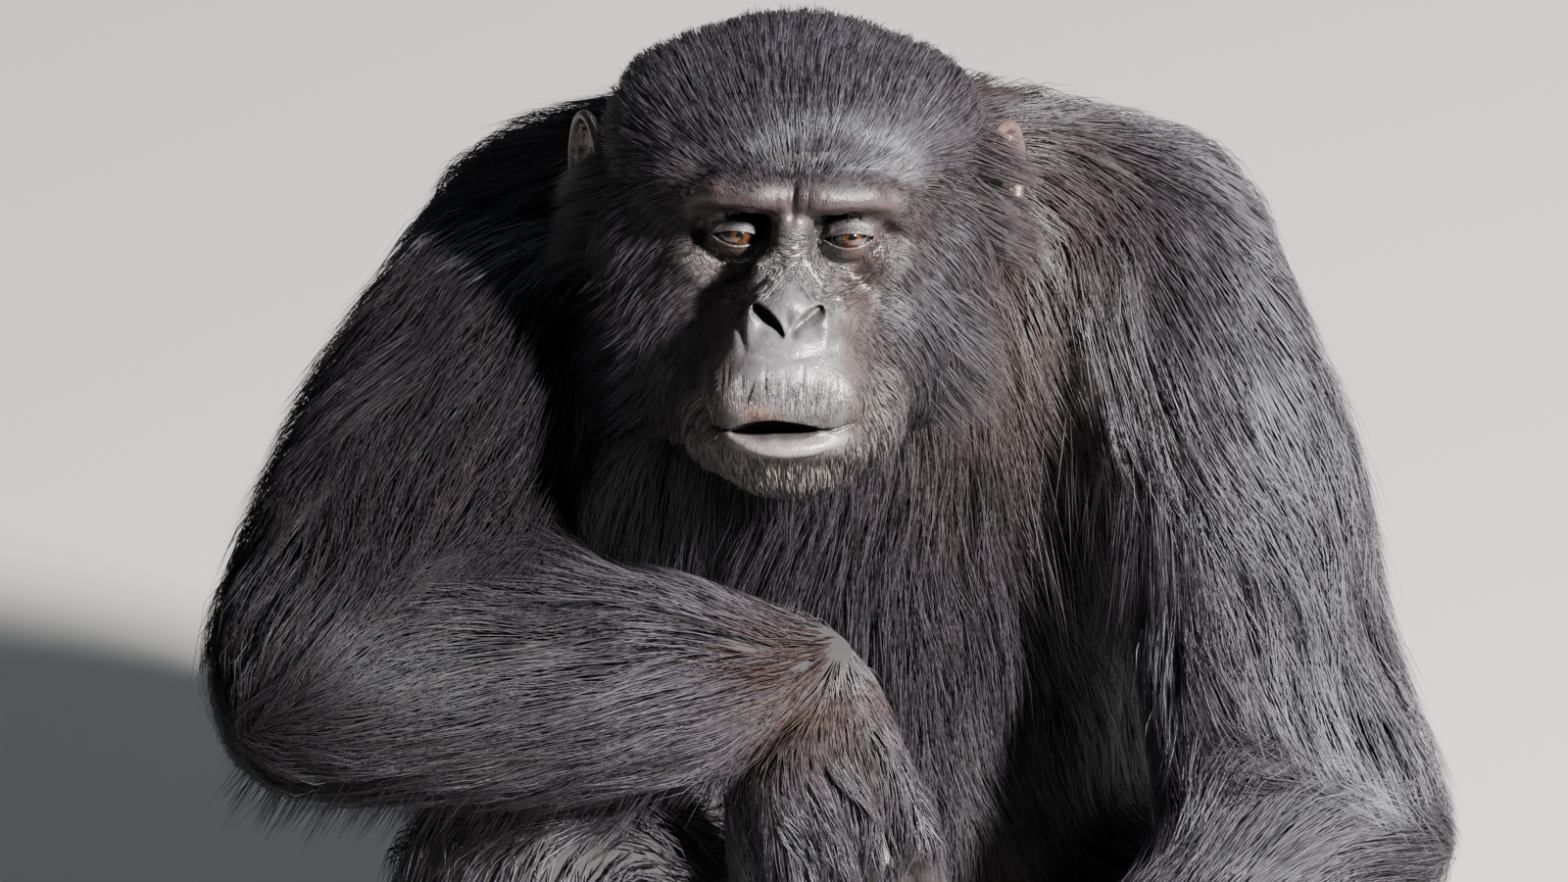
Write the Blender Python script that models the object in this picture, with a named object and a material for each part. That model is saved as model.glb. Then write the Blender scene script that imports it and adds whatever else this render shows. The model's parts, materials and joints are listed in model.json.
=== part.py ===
"""A sitting chimpanzee at life size, hunched forward, its right forearm laid across its raised right knee.

Metres, +Z up. The animal faces -Y and its left side is +X. It sits on the floor, Z = 0. Every outline is
that of the coat's tips. Each group of flesh is built whole from round masses that are fused, smoothed and
thinned, then parted with thin cuts. At the end the whole animal is moved so that the origin lies under its
middle.
"""

import math

import bmesh
import bpy
from mathutils import Matrix, Vector

# Clearance between neighbouring solids, half of it taken from each side of a cut.
GAP = 0.0006

# How near two points of a cut edge may be before they are one: the widest that leaves the body closed.
MERGE_DISTANCES = (0.00002, 0.000005, 0.000001, 0.0)

# Limb lengths, joint centre to joint centre.
UPPER_ARM = 0.285
FOREARM = 0.250
THIGH = 0.300
SHIN = 0.250
PALM_LENGTH = 0.098
FINGER_LENGTH = 0.125
FOOT_LENGTH = 0.220
ANKLE_HEIGHT = 0.056

# Trunk, from the seat up: centre of each ball, then half its width, depth and height.
HIPS = Vector((0.050, 0.052, 0.110))
RIBS = Vector((0.043, 0.064, 0.330))
UPPER_CHEST = Vector((0.034, 0.036, 0.470))
HUMP = Vector((0.033, 0.045, 0.545))
TRUNK_STATIONS = (
    (HIPS, (0.162, 0.142, 0.121)),
    (Vector((0.049, 0.062, 0.175)), (0.164, 0.150, 0.110)),
    (Vector((0.047, 0.066, 0.250)), (0.160, 0.148, 0.110)),
    (RIBS, (0.162, 0.140, 0.105)),
    (Vector((0.038, 0.056, 0.405)), (0.168, 0.132, 0.095)),
    (UPPER_CHEST, (0.166, 0.118, 0.088)),
    (HUMP, (0.120, 0.090, 0.070)),
)
WAIST_HEIGHT = 0.252
YOKE_RADIUS = 0.082
YOKE_ENDS = (
    # top of each shoulder and its radius, then the same of the flank that the shoulder blade runs down to
    (Vector((-0.125, 0.032, 0.526)), 0.068, Vector((-0.062, 0.092, 0.345)), 0.056),
    (Vector((0.188, 0.032, 0.530)), 0.066, Vector((0.142, 0.092, 0.345)), 0.056),
)
NAPE_R = Vector((-0.030, -0.010, 0.590))
NAPE_RADIUS = 0.054
NECK_ROOT = Vector((0.030, 0.030, 0.525))
NECK_TOP = Vector((0.008, -0.060, 0.595))
NECK_RADII = (0.100, 0.090)
NECK_CUT_MIDDLE = Vector((0.012, -0.045, 0.580))
NECK_CUT_RADIUS = 0.122

# Head: its frame stands between the pupils, nose lifted and turned a little to the animal's right.
EYES_MIDDLE = Vector((0.0043, -0.172, 0.632))
HEAD_LIFT = math.radians(14)
HEAD_TURN = math.radians(3)
PUPIL_SPAN = 0.0548
EYE_DEPTH = 0.0112
EYEBALL_RADIUS = 0.0112
EYE_OPENING = (0.0122, 0.0064, 0.0046)
MOUTH_POINT = Vector((0.0, -0.060, -0.0805))
EAR_MIDDLE = Vector((0.101, 0.100, 0.009))
EAR_RADII = Vector((0.0045, 0.020, 0.028))
EAR_FLARE = math.radians(24)
EAR_LEAN = math.radians(-12)
EAR_RIM_RADIUS = 0.0036
EAR_RIM_BEADS = 36


def reach(start, towards, length):
    """The point that lies length from start along the direction towards."""
    return start + Vector(towards).normalized() * length


# Joint centres of each limb, worked out from a start, a direction and a length.
SHOULDER_R = Vector((-0.130, 0.002, 0.512))
SHOULDER_L = Vector((0.192, 0.002, 0.512))
ELBOW_R = reach(SHOULDER_R, (-0.096, -0.256, -0.080), UPPER_ARM)
WRIST_R = reach(ELBOW_R, (0.236, 0.075, -0.046), FOREARM)
ELBOW_L = reach(SHOULDER_L, (0.099, -0.132, -0.234), UPPER_ARM)
WRIST_L = reach(ELBOW_L, (-0.150, -0.165, -0.030), FOREARM)
HIP_R = Vector((-0.027, 0.022, 0.118))
HIP_L = Vector((0.123, 0.022, 0.118))
KNEE_R = reach(HIP_R, (-0.104, -0.226, 0.166), THIGH)
ANKLE_R = reach(KNEE_R, (0.000, -0.070, -0.232), SHIN)
KNEE_L = reach(HIP_L, (0.175, -0.215, 0.060), THIGH)
ANKLE_L = reach(KNEE_L, (-0.124, -0.170, -0.128), SHIN)

# Radii along each arm: share of the way from shoulder to elbow or from elbow to wrist, then the radius.
UPPER_ARM_R_RADII = ((0.00, 0.080), (0.45, 0.081), (0.78, 0.083), (1.00, 0.070))
UPPER_ARM_L_RADII = ((0.00, 0.074), (0.30, 0.079), (0.55, 0.065), (0.78, 0.055), (1.00, 0.059))
FOREARM_R_RADII = ((0.00, 0.070), (0.35, 0.071), (0.70, 0.060), (1.00, 0.045))
FOREARM_L_RADII = ((0.00, 0.059), (0.30, 0.061), (1.00, 0.042))
# The long hair inside the left arm: shares of the upper arm, then how far it stands off and its radius.
ARM_FRINGE_L = (
    (0.35, Vector((-0.010, -0.006, 0.000)), 0.050),
    (1.00, Vector((-0.055, -0.016, 0.008)), 0.058),
)
THIGH_RADII = ((0.00, 0.098), (0.50, 0.090), (1.00, 0.075))
SHIN_RADII = ((0.00, 0.075), (0.35, 0.067), (1.00, 0.042))


# ---------------------------------------------------------------- tools


def clear_scene():
    """Removes whatever objects the file holds."""
    for thing in list(bpy.data.objects):
        bpy.data.objects.remove(thing)


def append(bm, piece):
    """Adds a small body of its own to the masses."""
    mesh = bpy.data.meshes.new("piece")
    piece.to_mesh(mesh)
    piece.free()
    bm.from_mesh(mesh)
    bpy.data.meshes.remove(mesh)


def add_ball(bm, centre, radii, frame=Matrix()):
    """Adds an ellipsoid to the masses, its centre and radii given in the frame's own axes."""
    if isinstance(radii, float):
        radii = (radii, radii, radii)
    ball = bmesh.new()
    place_at = frame @ Matrix.Translation(centre) @ Matrix.Diagonal((*radii, 1))
    bmesh.ops.create_uvsphere(ball, u_segments=28, v_segments=18, radius=1, matrix=place_at)
    append(bm, ball)


def add_taper(bm, start, start_radius, end, end_radius, frame=Matrix()):
    """Adds a truncated cone with a ball at either end."""
    start, end = Vector(start), Vector(end)
    along = end - start
    turn = along.to_track_quat("Z", "Y").to_matrix().to_4x4()
    cone = bmesh.new()
    bmesh.ops.create_cone(
        cone,
        cap_ends=True,
        segments=28,
        radius1=start_radius,
        radius2=end_radius,
        depth=along.length,
        matrix=frame @ Matrix.Translation((start + end) / 2) @ turn,
    )
    append(bm, cone)
    add_ball(bm, start, float(start_radius), frame)
    add_ball(bm, end, float(end_radius), frame)


def add_limb(bm, start, end, radii):
    """Adds a row of tapers from start to end, its thickness following the shares and radii given."""
    for (share, radius), (next_share, next_radius) in zip(radii, radii[1:]):
        add_taper(bm, start.lerp(end, share), radius, start.lerp(end, next_share), next_radius)


def evaluated(mesh, *modifiers):
    """A new mesh: the given one as the modifiers, each a type and its settings, leave it."""
    thing = bpy.data.objects.new("work", mesh)
    bpy.context.scene.collection.objects.link(thing)
    for kind, settings in modifiers:
        modifier = thing.modifiers.new(kind.lower(), kind)
        for key, value in settings.items():
            setattr(modifier, key, value)
    depsgraph = bpy.context.evaluated_depsgraph_get()
    result = bpy.data.meshes.new_from_object(thing.evaluated_get(depsgraph))
    bpy.data.objects.remove(thing)
    return result


def fused(bm, voxel, smoothing, triangles):
    """Melts overlapping masses into one closed, smooth body of about the given number of triangles."""
    mesh = bpy.data.meshes.new("masses")
    bm.to_mesh(mesh)
    bm.free()
    melted = evaluated(
        mesh,
        ("REMESH", {"mode": "VOXEL", "voxel_size": voxel}),
        ("SMOOTH", {"factor": 0.5, "iterations": smoothing}),
        ("TRIANGULATE", {}),
    )
    share = min(1.0, triangles / len(melted.polygons))
    return evaluated(melted, ("DECIMATE", {"ratio": share, "use_collapse_triangulate": True}))


def half(mesh, point, normal, inset=GAP / 2):
    """The part of a closed mesh on the normal's side of a plane, capped flat and set inset off the plane."""
    normal = Vector(normal).normalized()
    bm = bmesh.new()
    bm.from_mesh(mesh)
    bmesh.ops.bisect_plane(
        bm,
        geom=bm.verts[:] + bm.edges[:] + bm.faces[:],
        plane_co=Vector(point) + normal * inset,
        plane_no=normal,
        clear_inner=True,
    )
    rims = [edge for edge in bm.edges if edge.is_boundary]
    bmesh.ops.holes_fill(bm, edges=rims, sides=0)
    bmesh.ops.triangulate(bm, faces=[face for face in bm.faces if len(face.verts) > 3])
    result = bpy.data.meshes.new("half")
    bm.to_mesh(result)
    bm.free()
    return result


def parted(mesh, point, normal):
    """Both parts of a mesh cut by a plane: the one behind the plane, then the one its normal points to."""
    normal = Vector(normal).normalized()
    return half(mesh, point, -normal), half(mesh, point, normal)


def parted_by_ball(mesh, centre, radius):
    """What of a closed mesh lies inside a ball, then what lies outside it, the clearance between them."""
    parts = []
    for operation, side in (("INTERSECT", -1), ("DIFFERENCE", 1)):
        ball = bmesh.new()
        seat = Matrix.Translation(centre)
        ball_radius = radius + side * GAP / 2
        bmesh.ops.create_uvsphere(ball, u_segments=16, v_segments=10, radius=ball_radius, matrix=seat)
        ball_mesh = bpy.data.meshes.new("ball")
        ball.to_mesh(ball_mesh)
        ball.free()
        cutter = bpy.data.objects.new("cutter", ball_mesh)
        bpy.context.scene.collection.objects.link(cutter)
        parts.append(largest_body(evaluated(mesh, ("BOOLEAN", {"operation": operation, "object": cutter}))))
        bpy.data.objects.remove(cutter)
    return parts


def swollen(mesh, by):
    """A copy of a mesh with every point moved out along its normal."""
    result = mesh.copy()
    for vertex, normal in zip(result.vertices, [v.normal.copy() for v in mesh.vertices]):
        vertex.co += normal * by
    return result


def carved(mesh, *neighbours):
    """A mesh less the room that its neighbours and the clearance round them take."""
    for neighbour in neighbours:
        cutter = bpy.data.objects.new("cutter", swollen(neighbour, GAP))
        bpy.context.scene.collection.objects.link(cutter)
        mesh = evaluated(mesh, ("BOOLEAN", {"operation": "DIFFERENCE", "object": cutter}))
        bpy.data.objects.remove(cutter)
        mesh = largest_body(mesh)
    return mesh


def largest_body(mesh):
    """Drops the loose crumbs and the slivers that a cut leaves, keeping the body with the most points."""
    for merge in MERGE_DISTANCES:
        bm = bmesh.new()
        bm.from_mesh(mesh)
        bmesh.ops.remove_doubles(bm, verts=bm.verts[:], dist=merge)
        keep = max(bodies_of(bm), key=len)
        bmesh.ops.delete(bm, geom=[v for v in bm.verts if v not in keep], context="VERTS")
        bmesh.ops.dissolve_degenerate(bm, edges=bm.edges[:], dist=merge)
        bmesh.ops.triangulate(bm, faces=[face for face in bm.faces if len(face.verts) > 3])
        still_closed = all(edge.is_manifold for edge in bm.edges)
        result = bpy.data.meshes.new("body")
        bm.to_mesh(result)
        bm.free()
        if still_closed:
            break
    return result


def bodies_of(bm):
    """The loose bodies of a mesh, each as the set of its points."""
    unseen = set(bm.verts)
    bodies = []
    while unseen:
        body = set()
        front = [unseen.pop()]
        while front:
            vertex = front.pop()
            body.add(vertex)
            for edge in vertex.link_edges:
                other = edge.other_vert(vertex)
                if other in unseen:
                    unseen.discard(other)
                    front.append(other)
        bodies.append(body)
    return bodies


def above_floor(mesh):
    """A mesh with all that lies under the floor pared off to a flat at Z = 0."""
    return half(mesh, (0, 0, 0), (0, 0, 1), inset=0.0)


def bend_plane(before, joint, after):
    """The plane that halves the bend at a joint: its normal points from the first length to the second."""
    first = (joint - before).normalized()
    second = (after - joint).normalized()
    return joint, (first + second).normalized()


def material(name, colour, roughness, sheen=0.0):
    """A plain Principled finish."""
    made = bpy.data.materials.new(name)
    made.use_nodes = True
    shader = made.node_tree.nodes["Principled BSDF"]
    shader.inputs["Base Color"].default_value = (*colour, 1)
    shader.inputs["Roughness"].default_value = roughness
    shader.inputs["Metallic"].default_value = 0.0
    shader.inputs["Sheen Weight"].default_value = sheen
    return made


def place(name, mesh, finish):
    """Makes a named sub-part of a finished mesh."""
    mesh.materials.clear()
    mesh.materials.append(finish)
    mesh.shade_smooth()
    mesh.set_sharp_from_angle(angle=math.radians(40))
    thing = bpy.data.objects.new(name, mesh)
    bpy.context.scene.collection.objects.link(thing)


def centre_on_origin():
    """Moves the whole animal so that the middle of its box's underside is the origin."""
    meshes = [thing.data for thing in bpy.context.scene.objects]
    points = [vertex.co for mesh in meshes for vertex in mesh.vertices]
    low = [min(point[axis] for point in points) for axis in range(2)]
    high = [max(point[axis] for point in points) for axis in range(2)]
    shift = Matrix.Translation((-(low[0] + high[0]) / 2, -(low[1] + high[1]) / 2, 0))
    for mesh in meshes:
        mesh.transform(shift)


# ---------------------------------------------------------------- trunk and neck


def trunk():
    """Pelvis, belly, rib cage, the yoke of the shoulders and the short, thick neck as one body."""
    bm = bmesh.new()
    for (low, low_radii), (high, high_radii) in zip(TRUNK_STATIONS, TRUNK_STATIONS[1:]):
        for share in (0, 0.33, 0.67, 1):
            radii = Vector(low_radii).lerp(Vector(high_radii), share)
            add_ball(bm, low.lerp(high, share), tuple(radii))
    for yoke_end, radius, flank, flank_radius in YOKE_ENDS:
        add_taper(bm, HUMP, YOKE_RADIUS, yoke_end, radius)
        add_taper(bm, yoke_end, radius, flank, flank_radius)
    add_taper(bm, NAPE_R, NAPE_RADIUS, YOKE_ENDS[0][0], YOKE_ENDS[0][1])
    add_taper(bm, NECK_ROOT, NECK_RADII[0], NECK_TOP, NECK_RADII[1])
    return fused(bm, voxel=0.010, smoothing=10, triangles=820)


# ---------------------------------------------------------------- head

HEAD = (
    Matrix.Translation(EYES_MIDDLE)
    @ Matrix.Rotation(-HEAD_TURN, 4, "Z")
    @ Matrix.Rotation(-HEAD_LIFT, 4, "X")
)
MIDDLE_MASSES = (
    # centre, then half the width, depth and height
    ((0, 0.084, 0.014), (0.095, 0.074, 0.083)),  # skull with the hair of the crown
    ((0, 0.045, 0.035), (0.068, 0.045, 0.044)),  # forehead
    ((0, 0.036, -0.012), (0.059, 0.030, 0.042)),  # plane of the eyes
    ((0, 0.014, -0.052), (0.046, 0.050, 0.040)),  # upper jaw
    ((0, -0.020, -0.064), (0.041, 0.044, 0.034)),  # muzzle
    ((0, -0.044, -0.066), (0.034, 0.022, 0.020)),  # upper lip
    ((0, -0.044, -0.091), (0.031, 0.019, 0.011)),  # lower lip
    ((0, -0.016, -0.101), (0.040, 0.036, 0.028)),  # chin with its beard
    ((0, 0.022, -0.090), (0.056, 0.056, 0.039)),  # throat's side of the jaw
    ((0, -0.031, -0.031), (0.017, 0.015, 0.011)),  # nose tip
)
SIDE_MASSES = (
    ((0.047, 0.078, 0.037), (0.050, 0.054, 0.051)),  # side of the crown
    ((0.056, 0.068, -0.020), (0.053, 0.054, 0.066)),  # ruff before the ear
    ((0.054, 0.059, -0.046), (0.049, 0.054, 0.060)),  # ruff below the ear
    ((0.051, 0.050, -0.072), (0.044, 0.052, 0.048)),  # ruff at the jaw's corner
    ((0.046, 0.048, 0.020), (0.036, 0.038, 0.044)),  # temple
    ((0.045, 0.022, -0.017), (0.018, 0.016, 0.015)),  # cheekbone
    ((0.047, 0.038, -0.046), (0.033, 0.036, 0.042)),  # cheek
    ((PUPIL_SPAN / 2, 0.0115, 0.0), (0.0160, 0.0125, 0.0125)),  # eyelids
    ((0.0135, -0.032, -0.0345), (0.0085, 0.0085, 0.0080)),  # wing of the nose
)
BROW_ARCH = (
    # points of the brow ridge from the middle outwards, then its radius
    ((0.000, -0.006, 0.0220), 0.0085),
    ((0.014, -0.009, 0.0235), 0.0097),
    ((0.033, -0.003, 0.0225), 0.0100),
    ((0.049, 0.012, 0.0150), 0.0088),
    ((0.056, 0.026, 0.0040), 0.0080),
)
NOSE_BRIDGE = ((0, 0.001, 0.012), 0.010, (0, -0.022, -0.022), 0.0135)


# How far the back of the head lies to the animal's right: a share of how far it is behind the pupils' line.
CROWN_DRIFT = 0.04


def drifted(point):
    """A place of the head, moved to the animal's right in proportion to how far back it is."""
    return Vector((point[0] - CROWN_DRIFT * max(0.0, point[1]), point[1], point[2]))


def mirrored(point, side):
    """A point of the animal's left side, or its twin on the right where side is -1."""
    return Vector((point[0] * side, point[1], point[2]))


def head():
    """Skull, brow ridge, muzzle and the ruff of the cheeks, as one body in the head's frame."""
    bm = bmesh.new()
    for centre, radii in MIDDLE_MASSES:
        add_ball(bm, drifted(centre), radii, HEAD)
    start, start_radius, end, end_radius = NOSE_BRIDGE
    add_taper(bm, start, start_radius, end, end_radius, HEAD)
    for side in (-1, 1):
        for centre, radii in SIDE_MASSES:
            add_ball(bm, drifted(mirrored(centre, side)), radii, HEAD)
        for (inner, inner_radius), (outer, outer_radius) in zip(BROW_ARCH, BROW_ARCH[1:]):
            add_taper(bm, mirrored(inner, side), inner_radius, mirrored(outer, side), outer_radius, HEAD)
    return fused(bm, voxel=0.0034, smoothing=3, triangles=1500)


def eyeball(side):
    """One eye, a plain ball."""
    bm = bmesh.new()
    centre = HEAD @ Vector((side * PUPIL_SPAN / 2, EYE_DEPTH, 0))
    seat = Matrix.Translation(centre)
    bmesh.ops.create_icosphere(bm, subdivisions=2, radius=EYEBALL_RADIUS, matrix=seat)
    mesh = bpy.data.meshes.new("eyeball")
    bm.to_mesh(mesh)
    bm.free()
    return mesh


def eye_opening(side):
    """The almond between the lids, a cutter that bares the front of the eye."""
    bm = bmesh.new()
    centre = Vector((side * PUPIL_SPAN / 2, EYE_DEPTH - EYEBALL_RADIUS, 0))
    shape = Matrix.Translation(centre) @ Matrix.Diagonal((*EYE_OPENING, 1))
    bmesh.ops.create_uvsphere(bm, u_segments=12, v_segments=8, radius=1, matrix=HEAD @ shape)
    mesh = bpy.data.meshes.new("opening")
    bm.to_mesh(mesh)
    bm.free()
    return mesh


def ear(side):
    """One round ear, a dished plate set nearly flat to the side of the head."""
    bm = bmesh.new()
    flare = Matrix.Rotation(-side * EAR_FLARE, 4, "Z")
    lean = Matrix.Rotation(EAR_LEAN, 4, "X")
    seat = HEAD @ Matrix.Translation(drifted(mirrored(EAR_MIDDLE, side))) @ flare @ lean
    add_ball(bm, (0, 0, 0), tuple(EAR_RADII), seat)
    for bead in range(EAR_RIM_BEADS):
        angle = 2 * math.pi * bead / EAR_RIM_BEADS
        rim = (side * 0.003, EAR_RADII.y * math.sin(angle), EAR_RADII.z * math.cos(angle))
        add_ball(bm, rim, EAR_RIM_RADIUS, seat)
    return fused(bm, voxel=0.0016, smoothing=4, triangles=140)


# ---------------------------------------------------------------- arms and hands

# A hand's own axes: x across the palm, y from the wrist to the fingers, z out of the back of the hand.
WRIST_BALL = ((0, -0.006, 0), (0.034, 0.034, 0.027))
FINGERS = (
    # place across the palm, share of the longest finger, radius at the knuckle
    (-0.0300, 0.88, 0.0108),
    (-0.0105, 1.00, 0.0115),
    (0.0095, 0.97, 0.0112),
    (0.0285, 0.80, 0.0100),
)
JOINT_SHARES = (0.46, 0.31, 0.23)
JOINT_TAPER = 0.90
PALM_BONE_START = 0.012
PALM_BONE_RADIUS = 0.019
PALM_GATHER = 0.60
KNUCKLE_SPREAD = 1.05
KNUCKLE_SWELL = 1.22
KNUCKLE_RISE = 0.004
KNUCKLE_LINE = 0.94
FINGER_FAN = math.radians(3.5) / 0.03
THUMB_ROOT = (0.026, 0.022, -0.006)
THUMB_ROOT_RADIUS = 0.015
THUMB_KNUCKLE = (0.043, 0.054, -0.014)
THUMB_KNUCKLE_RADIUS = 0.011
THUMB_LENGTH = 0.052
THUMB_RADIUS = 0.0098
THUMB_SPREAD = math.radians(16)
THUMB_CURLS = (10, 14, 12)
CUFF_LENGTH = 0.030
CUFF_RADIUS = 0.038


def add_finger(bm, frame, root, heading, length, radius, curls):
    """Adds one finger or toe: three lengths, each bent by its own curl towards the frame's -Z."""
    point = Vector(root)
    slope = 0.0
    for share, curl in zip(JOINT_SHARES, curls):
        slope += math.radians(curl)
        flat = Vector((math.sin(heading), math.cos(heading), 0)) * math.cos(slope)
        step = (flat + Vector((0, 0, -math.sin(slope)))) * length * share
        add_taper(bm, point, radius, point + step, radius * JOINT_TAPER, frame)
        point = point + step
        radius *= JOINT_TAPER


def limb_frame(origin, along, back):
    """Axes at a wrist or ankle: Y runs along the hand or foot, Z out of its back."""
    y = Vector(along).normalized()
    x = y.cross(Vector(back)).normalized()
    z = x.cross(y)
    return Matrix.Translation(origin) @ Matrix((x, y, z)).transposed().to_4x4()


def hand(wrist, along, back, thumb_side, curls):
    """A hand from the wrist down: long palm, four long fingers and a short thumb set low on its edge."""
    frame = limb_frame(wrist, along, back)
    bm = bmesh.new()
    add_ball(bm, *WRIST_BALL, frame)
    for across, share, radius in FINGERS:
        place_x = across * -thumb_side
        knuckle_y = PALM_LENGTH * (KNUCKLE_LINE + (1 - KNUCKLE_LINE) * share)
        knuckle = Vector((place_x * KNUCKLE_SPREAD, knuckle_y, KNUCKLE_RISE))
        palm_start = (place_x * PALM_GATHER, PALM_BONE_START, 0)
        add_taper(bm, palm_start, PALM_BONE_RADIUS, knuckle, radius * KNUCKLE_SWELL, frame)
        add_finger(bm, frame, knuckle, place_x * FINGER_FAN, FINGER_LENGTH * share, radius, curls)
    root = mirrored(THUMB_ROOT, thumb_side)
    knuckle = mirrored(THUMB_KNUCKLE, thumb_side)
    add_taper(bm, root, THUMB_ROOT_RADIUS, knuckle, THUMB_KNUCKLE_RADIUS, frame)
    add_finger(bm, frame, knuckle, thumb_side * THUMB_SPREAD, THUMB_LENGTH, THUMB_RADIUS, THUMB_CURLS)
    return fused(bm, voxel=0.0038, smoothing=2, triangles=470)


def arm(shoulder, elbow, wrist, upper_radii, fore_radii, hand_along, fringe):
    """Deltoid to wrist as one body, with the forearm's long hair and the fringe that hangs inside the arm."""
    bm = bmesh.new()
    add_limb(bm, shoulder, elbow, upper_radii)
    add_limb(bm, elbow, wrist, fore_radii)
    add_taper(bm, wrist, fore_radii[-1][1], reach(wrist, hand_along, CUFF_LENGTH), CUFF_RADIUS)
    for (share, off, radius), (next_share, next_off, next_radius) in zip(fringe, fringe[1:]):
        start = shoulder.lerp(elbow, share) + off
        end = shoulder.lerp(elbow, next_share) + next_off
        add_taper(bm, start, radius, end, next_radius)
    return fused(bm, voxel=0.008, smoothing=8, triangles=370)


# ---------------------------------------------------------------- legs and feet

# A foot's own axes: x across the sole, y from the heel to the toes, z up from the sole's line.
TOES = (
    # place across the ball of the foot, share of the longest toe, radius
    (-0.0090, 0.98, 0.0118),
    (0.0100, 1.00, 0.0115),
    (0.0275, 0.92, 0.0108),
    (0.0430, 0.80, 0.0100),
)
TOE_LENGTH = 0.052
TOE_CURLS = (0, 14, 12)
TOE_FAN = math.radians(5) / 0.03
SOLE_LINE = 0.024
HEEL = ((0, -0.024, 0.002), (0.031, 0.036, 0.031))
ANKLE_COLUMN = (0.041, (0, 0.006, 0.008), 0.034)
INSTEP = ((0, 0.000, 0.016), 0.036, (0, 0.052, 0.008), 0.031)
BALL_LINE = (0.48, 0.010)
BALL_HEIGHT = -0.009
BALL_SWELL = 1.35
SOLE_START = (0.40, 0.030, 0.004)
SOLE_RADIUS = 0.027
BIG_TOE_ROOT = (0.012, 0.024, 0.000)
BIG_TOE_ROOT_RADIUS = 0.024
BIG_TOE_KNUCKLE = (0.044, 0.074, -0.007)
BIG_TOE_KNUCKLE_RADIUS = 0.0175
BIG_TOE_LENGTH = 0.052
BIG_TOE_RADIUS = 0.0148
BIG_TOE_SPREAD = math.radians(26)
BIG_TOE_CURLS = (0, 6, 8)
ANKLE_CUFF = (Vector((0, 0, -0.030)), 0.040)


def foot(ankle, heading, big_toe_side):
    """A foot flat on the floor: heel, long instep, four toes and a big toe that stands off like a thumb."""
    along = (math.sin(heading), -math.cos(heading), 0)
    frame = limb_frame(Vector((ankle.x, ankle.y, SOLE_LINE)), along, (0, 0, 1))
    bm = bmesh.new()
    add_ball(bm, *HEEL, frame)
    ankle_radius, column_end, column_radius = ANKLE_COLUMN
    add_taper(bm, (0, 0, ANKLE_HEIGHT - SOLE_LINE), ankle_radius, column_end, column_radius, frame)
    add_taper(bm, *INSTEP, frame)
    ball_share, ball_advance = BALL_LINE
    gather, sole_y, sole_z = SOLE_START
    for across, share, radius in TOES:
        place_x = across * -big_toe_side
        ball_of_foot = Vector((place_x, FOOT_LENGTH * ball_share + ball_advance * share, BALL_HEIGHT))
        under_ball = (place_x * gather, sole_y, sole_z)
        add_taper(bm, under_ball, SOLE_RADIUS, ball_of_foot, radius * BALL_SWELL, frame)
        add_finger(bm, frame, ball_of_foot, place_x * TOE_FAN, TOE_LENGTH * share, radius, TOE_CURLS)
    root = mirrored(BIG_TOE_ROOT, big_toe_side)
    knuckle = mirrored(BIG_TOE_KNUCKLE, big_toe_side)
    add_taper(bm, root, BIG_TOE_ROOT_RADIUS, knuckle, BIG_TOE_KNUCKLE_RADIUS, frame)
    spread = big_toe_side * BIG_TOE_SPREAD
    add_finger(bm, frame, knuckle, spread, BIG_TOE_LENGTH, BIG_TOE_RADIUS, BIG_TOE_CURLS)
    return fused(bm, voxel=0.0038, smoothing=3, triangles=410)


def leg(hip, knee, ankle):
    """Buttock to ankle as one body."""
    bm = bmesh.new()
    add_limb(bm, hip, knee, THIGH_RADII)
    add_limb(bm, knee, ankle, SHIN_RADII)
    cuff_drop, cuff_radius = ANKLE_CUFF
    add_taper(bm, ankle, SHIN_RADII[-1][1], ankle + cuff_drop, cuff_radius)
    return fused(bm, voxel=0.009, smoothing=10, triangles=360)


# ---------------------------------------------------------------- assembly


JAW_DOWN = Vector((0, -0.10, -1))
WAIST_UP = Vector((0, -0.10, 1))
LEGS = (
    # side, hip, knee, ankle, which way the foot heads, the side its big toe is on
    ("r", HIP_R, KNEE_R, ANKLE_R, math.radians(-12), 1),
    ("l", HIP_L, KNEE_L, ANKLE_L, math.radians(14), -1),
)
ARMS = (
    # side, joints, radii of both lengths, the hand's heading, its back, the thumb's side, curls, fringe
    (
        "r",
        (SHOULDER_R, ELBOW_R, WRIST_R),
        (UPPER_ARM_R_RADII, FOREARM_R_RADII),
        Vector((0.32, -0.22, -1)),
        Vector((0.10, -1, 0.25)),
        1,
        (12, 22, 16),
        (),
    ),
    (
        "l",
        (SHOULDER_L, ELBOW_L, WRIST_L),
        (UPPER_ARM_L_RADII, FOREARM_L_RADII),
        Vector((-0.12, -0.30, -1)),
        Vector((-0.20, -1, 0.30)),
        -1,
        (18, 30, 22),
        ARM_FRINGE_L,
    ),
)
COAT_COLOUR = (0.020, 0.017, 0.018)
BARE_COLOUR = (0.085, 0.068, 0.066)
IRIS_COLOUR = (0.110, 0.045, 0.012)


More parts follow.
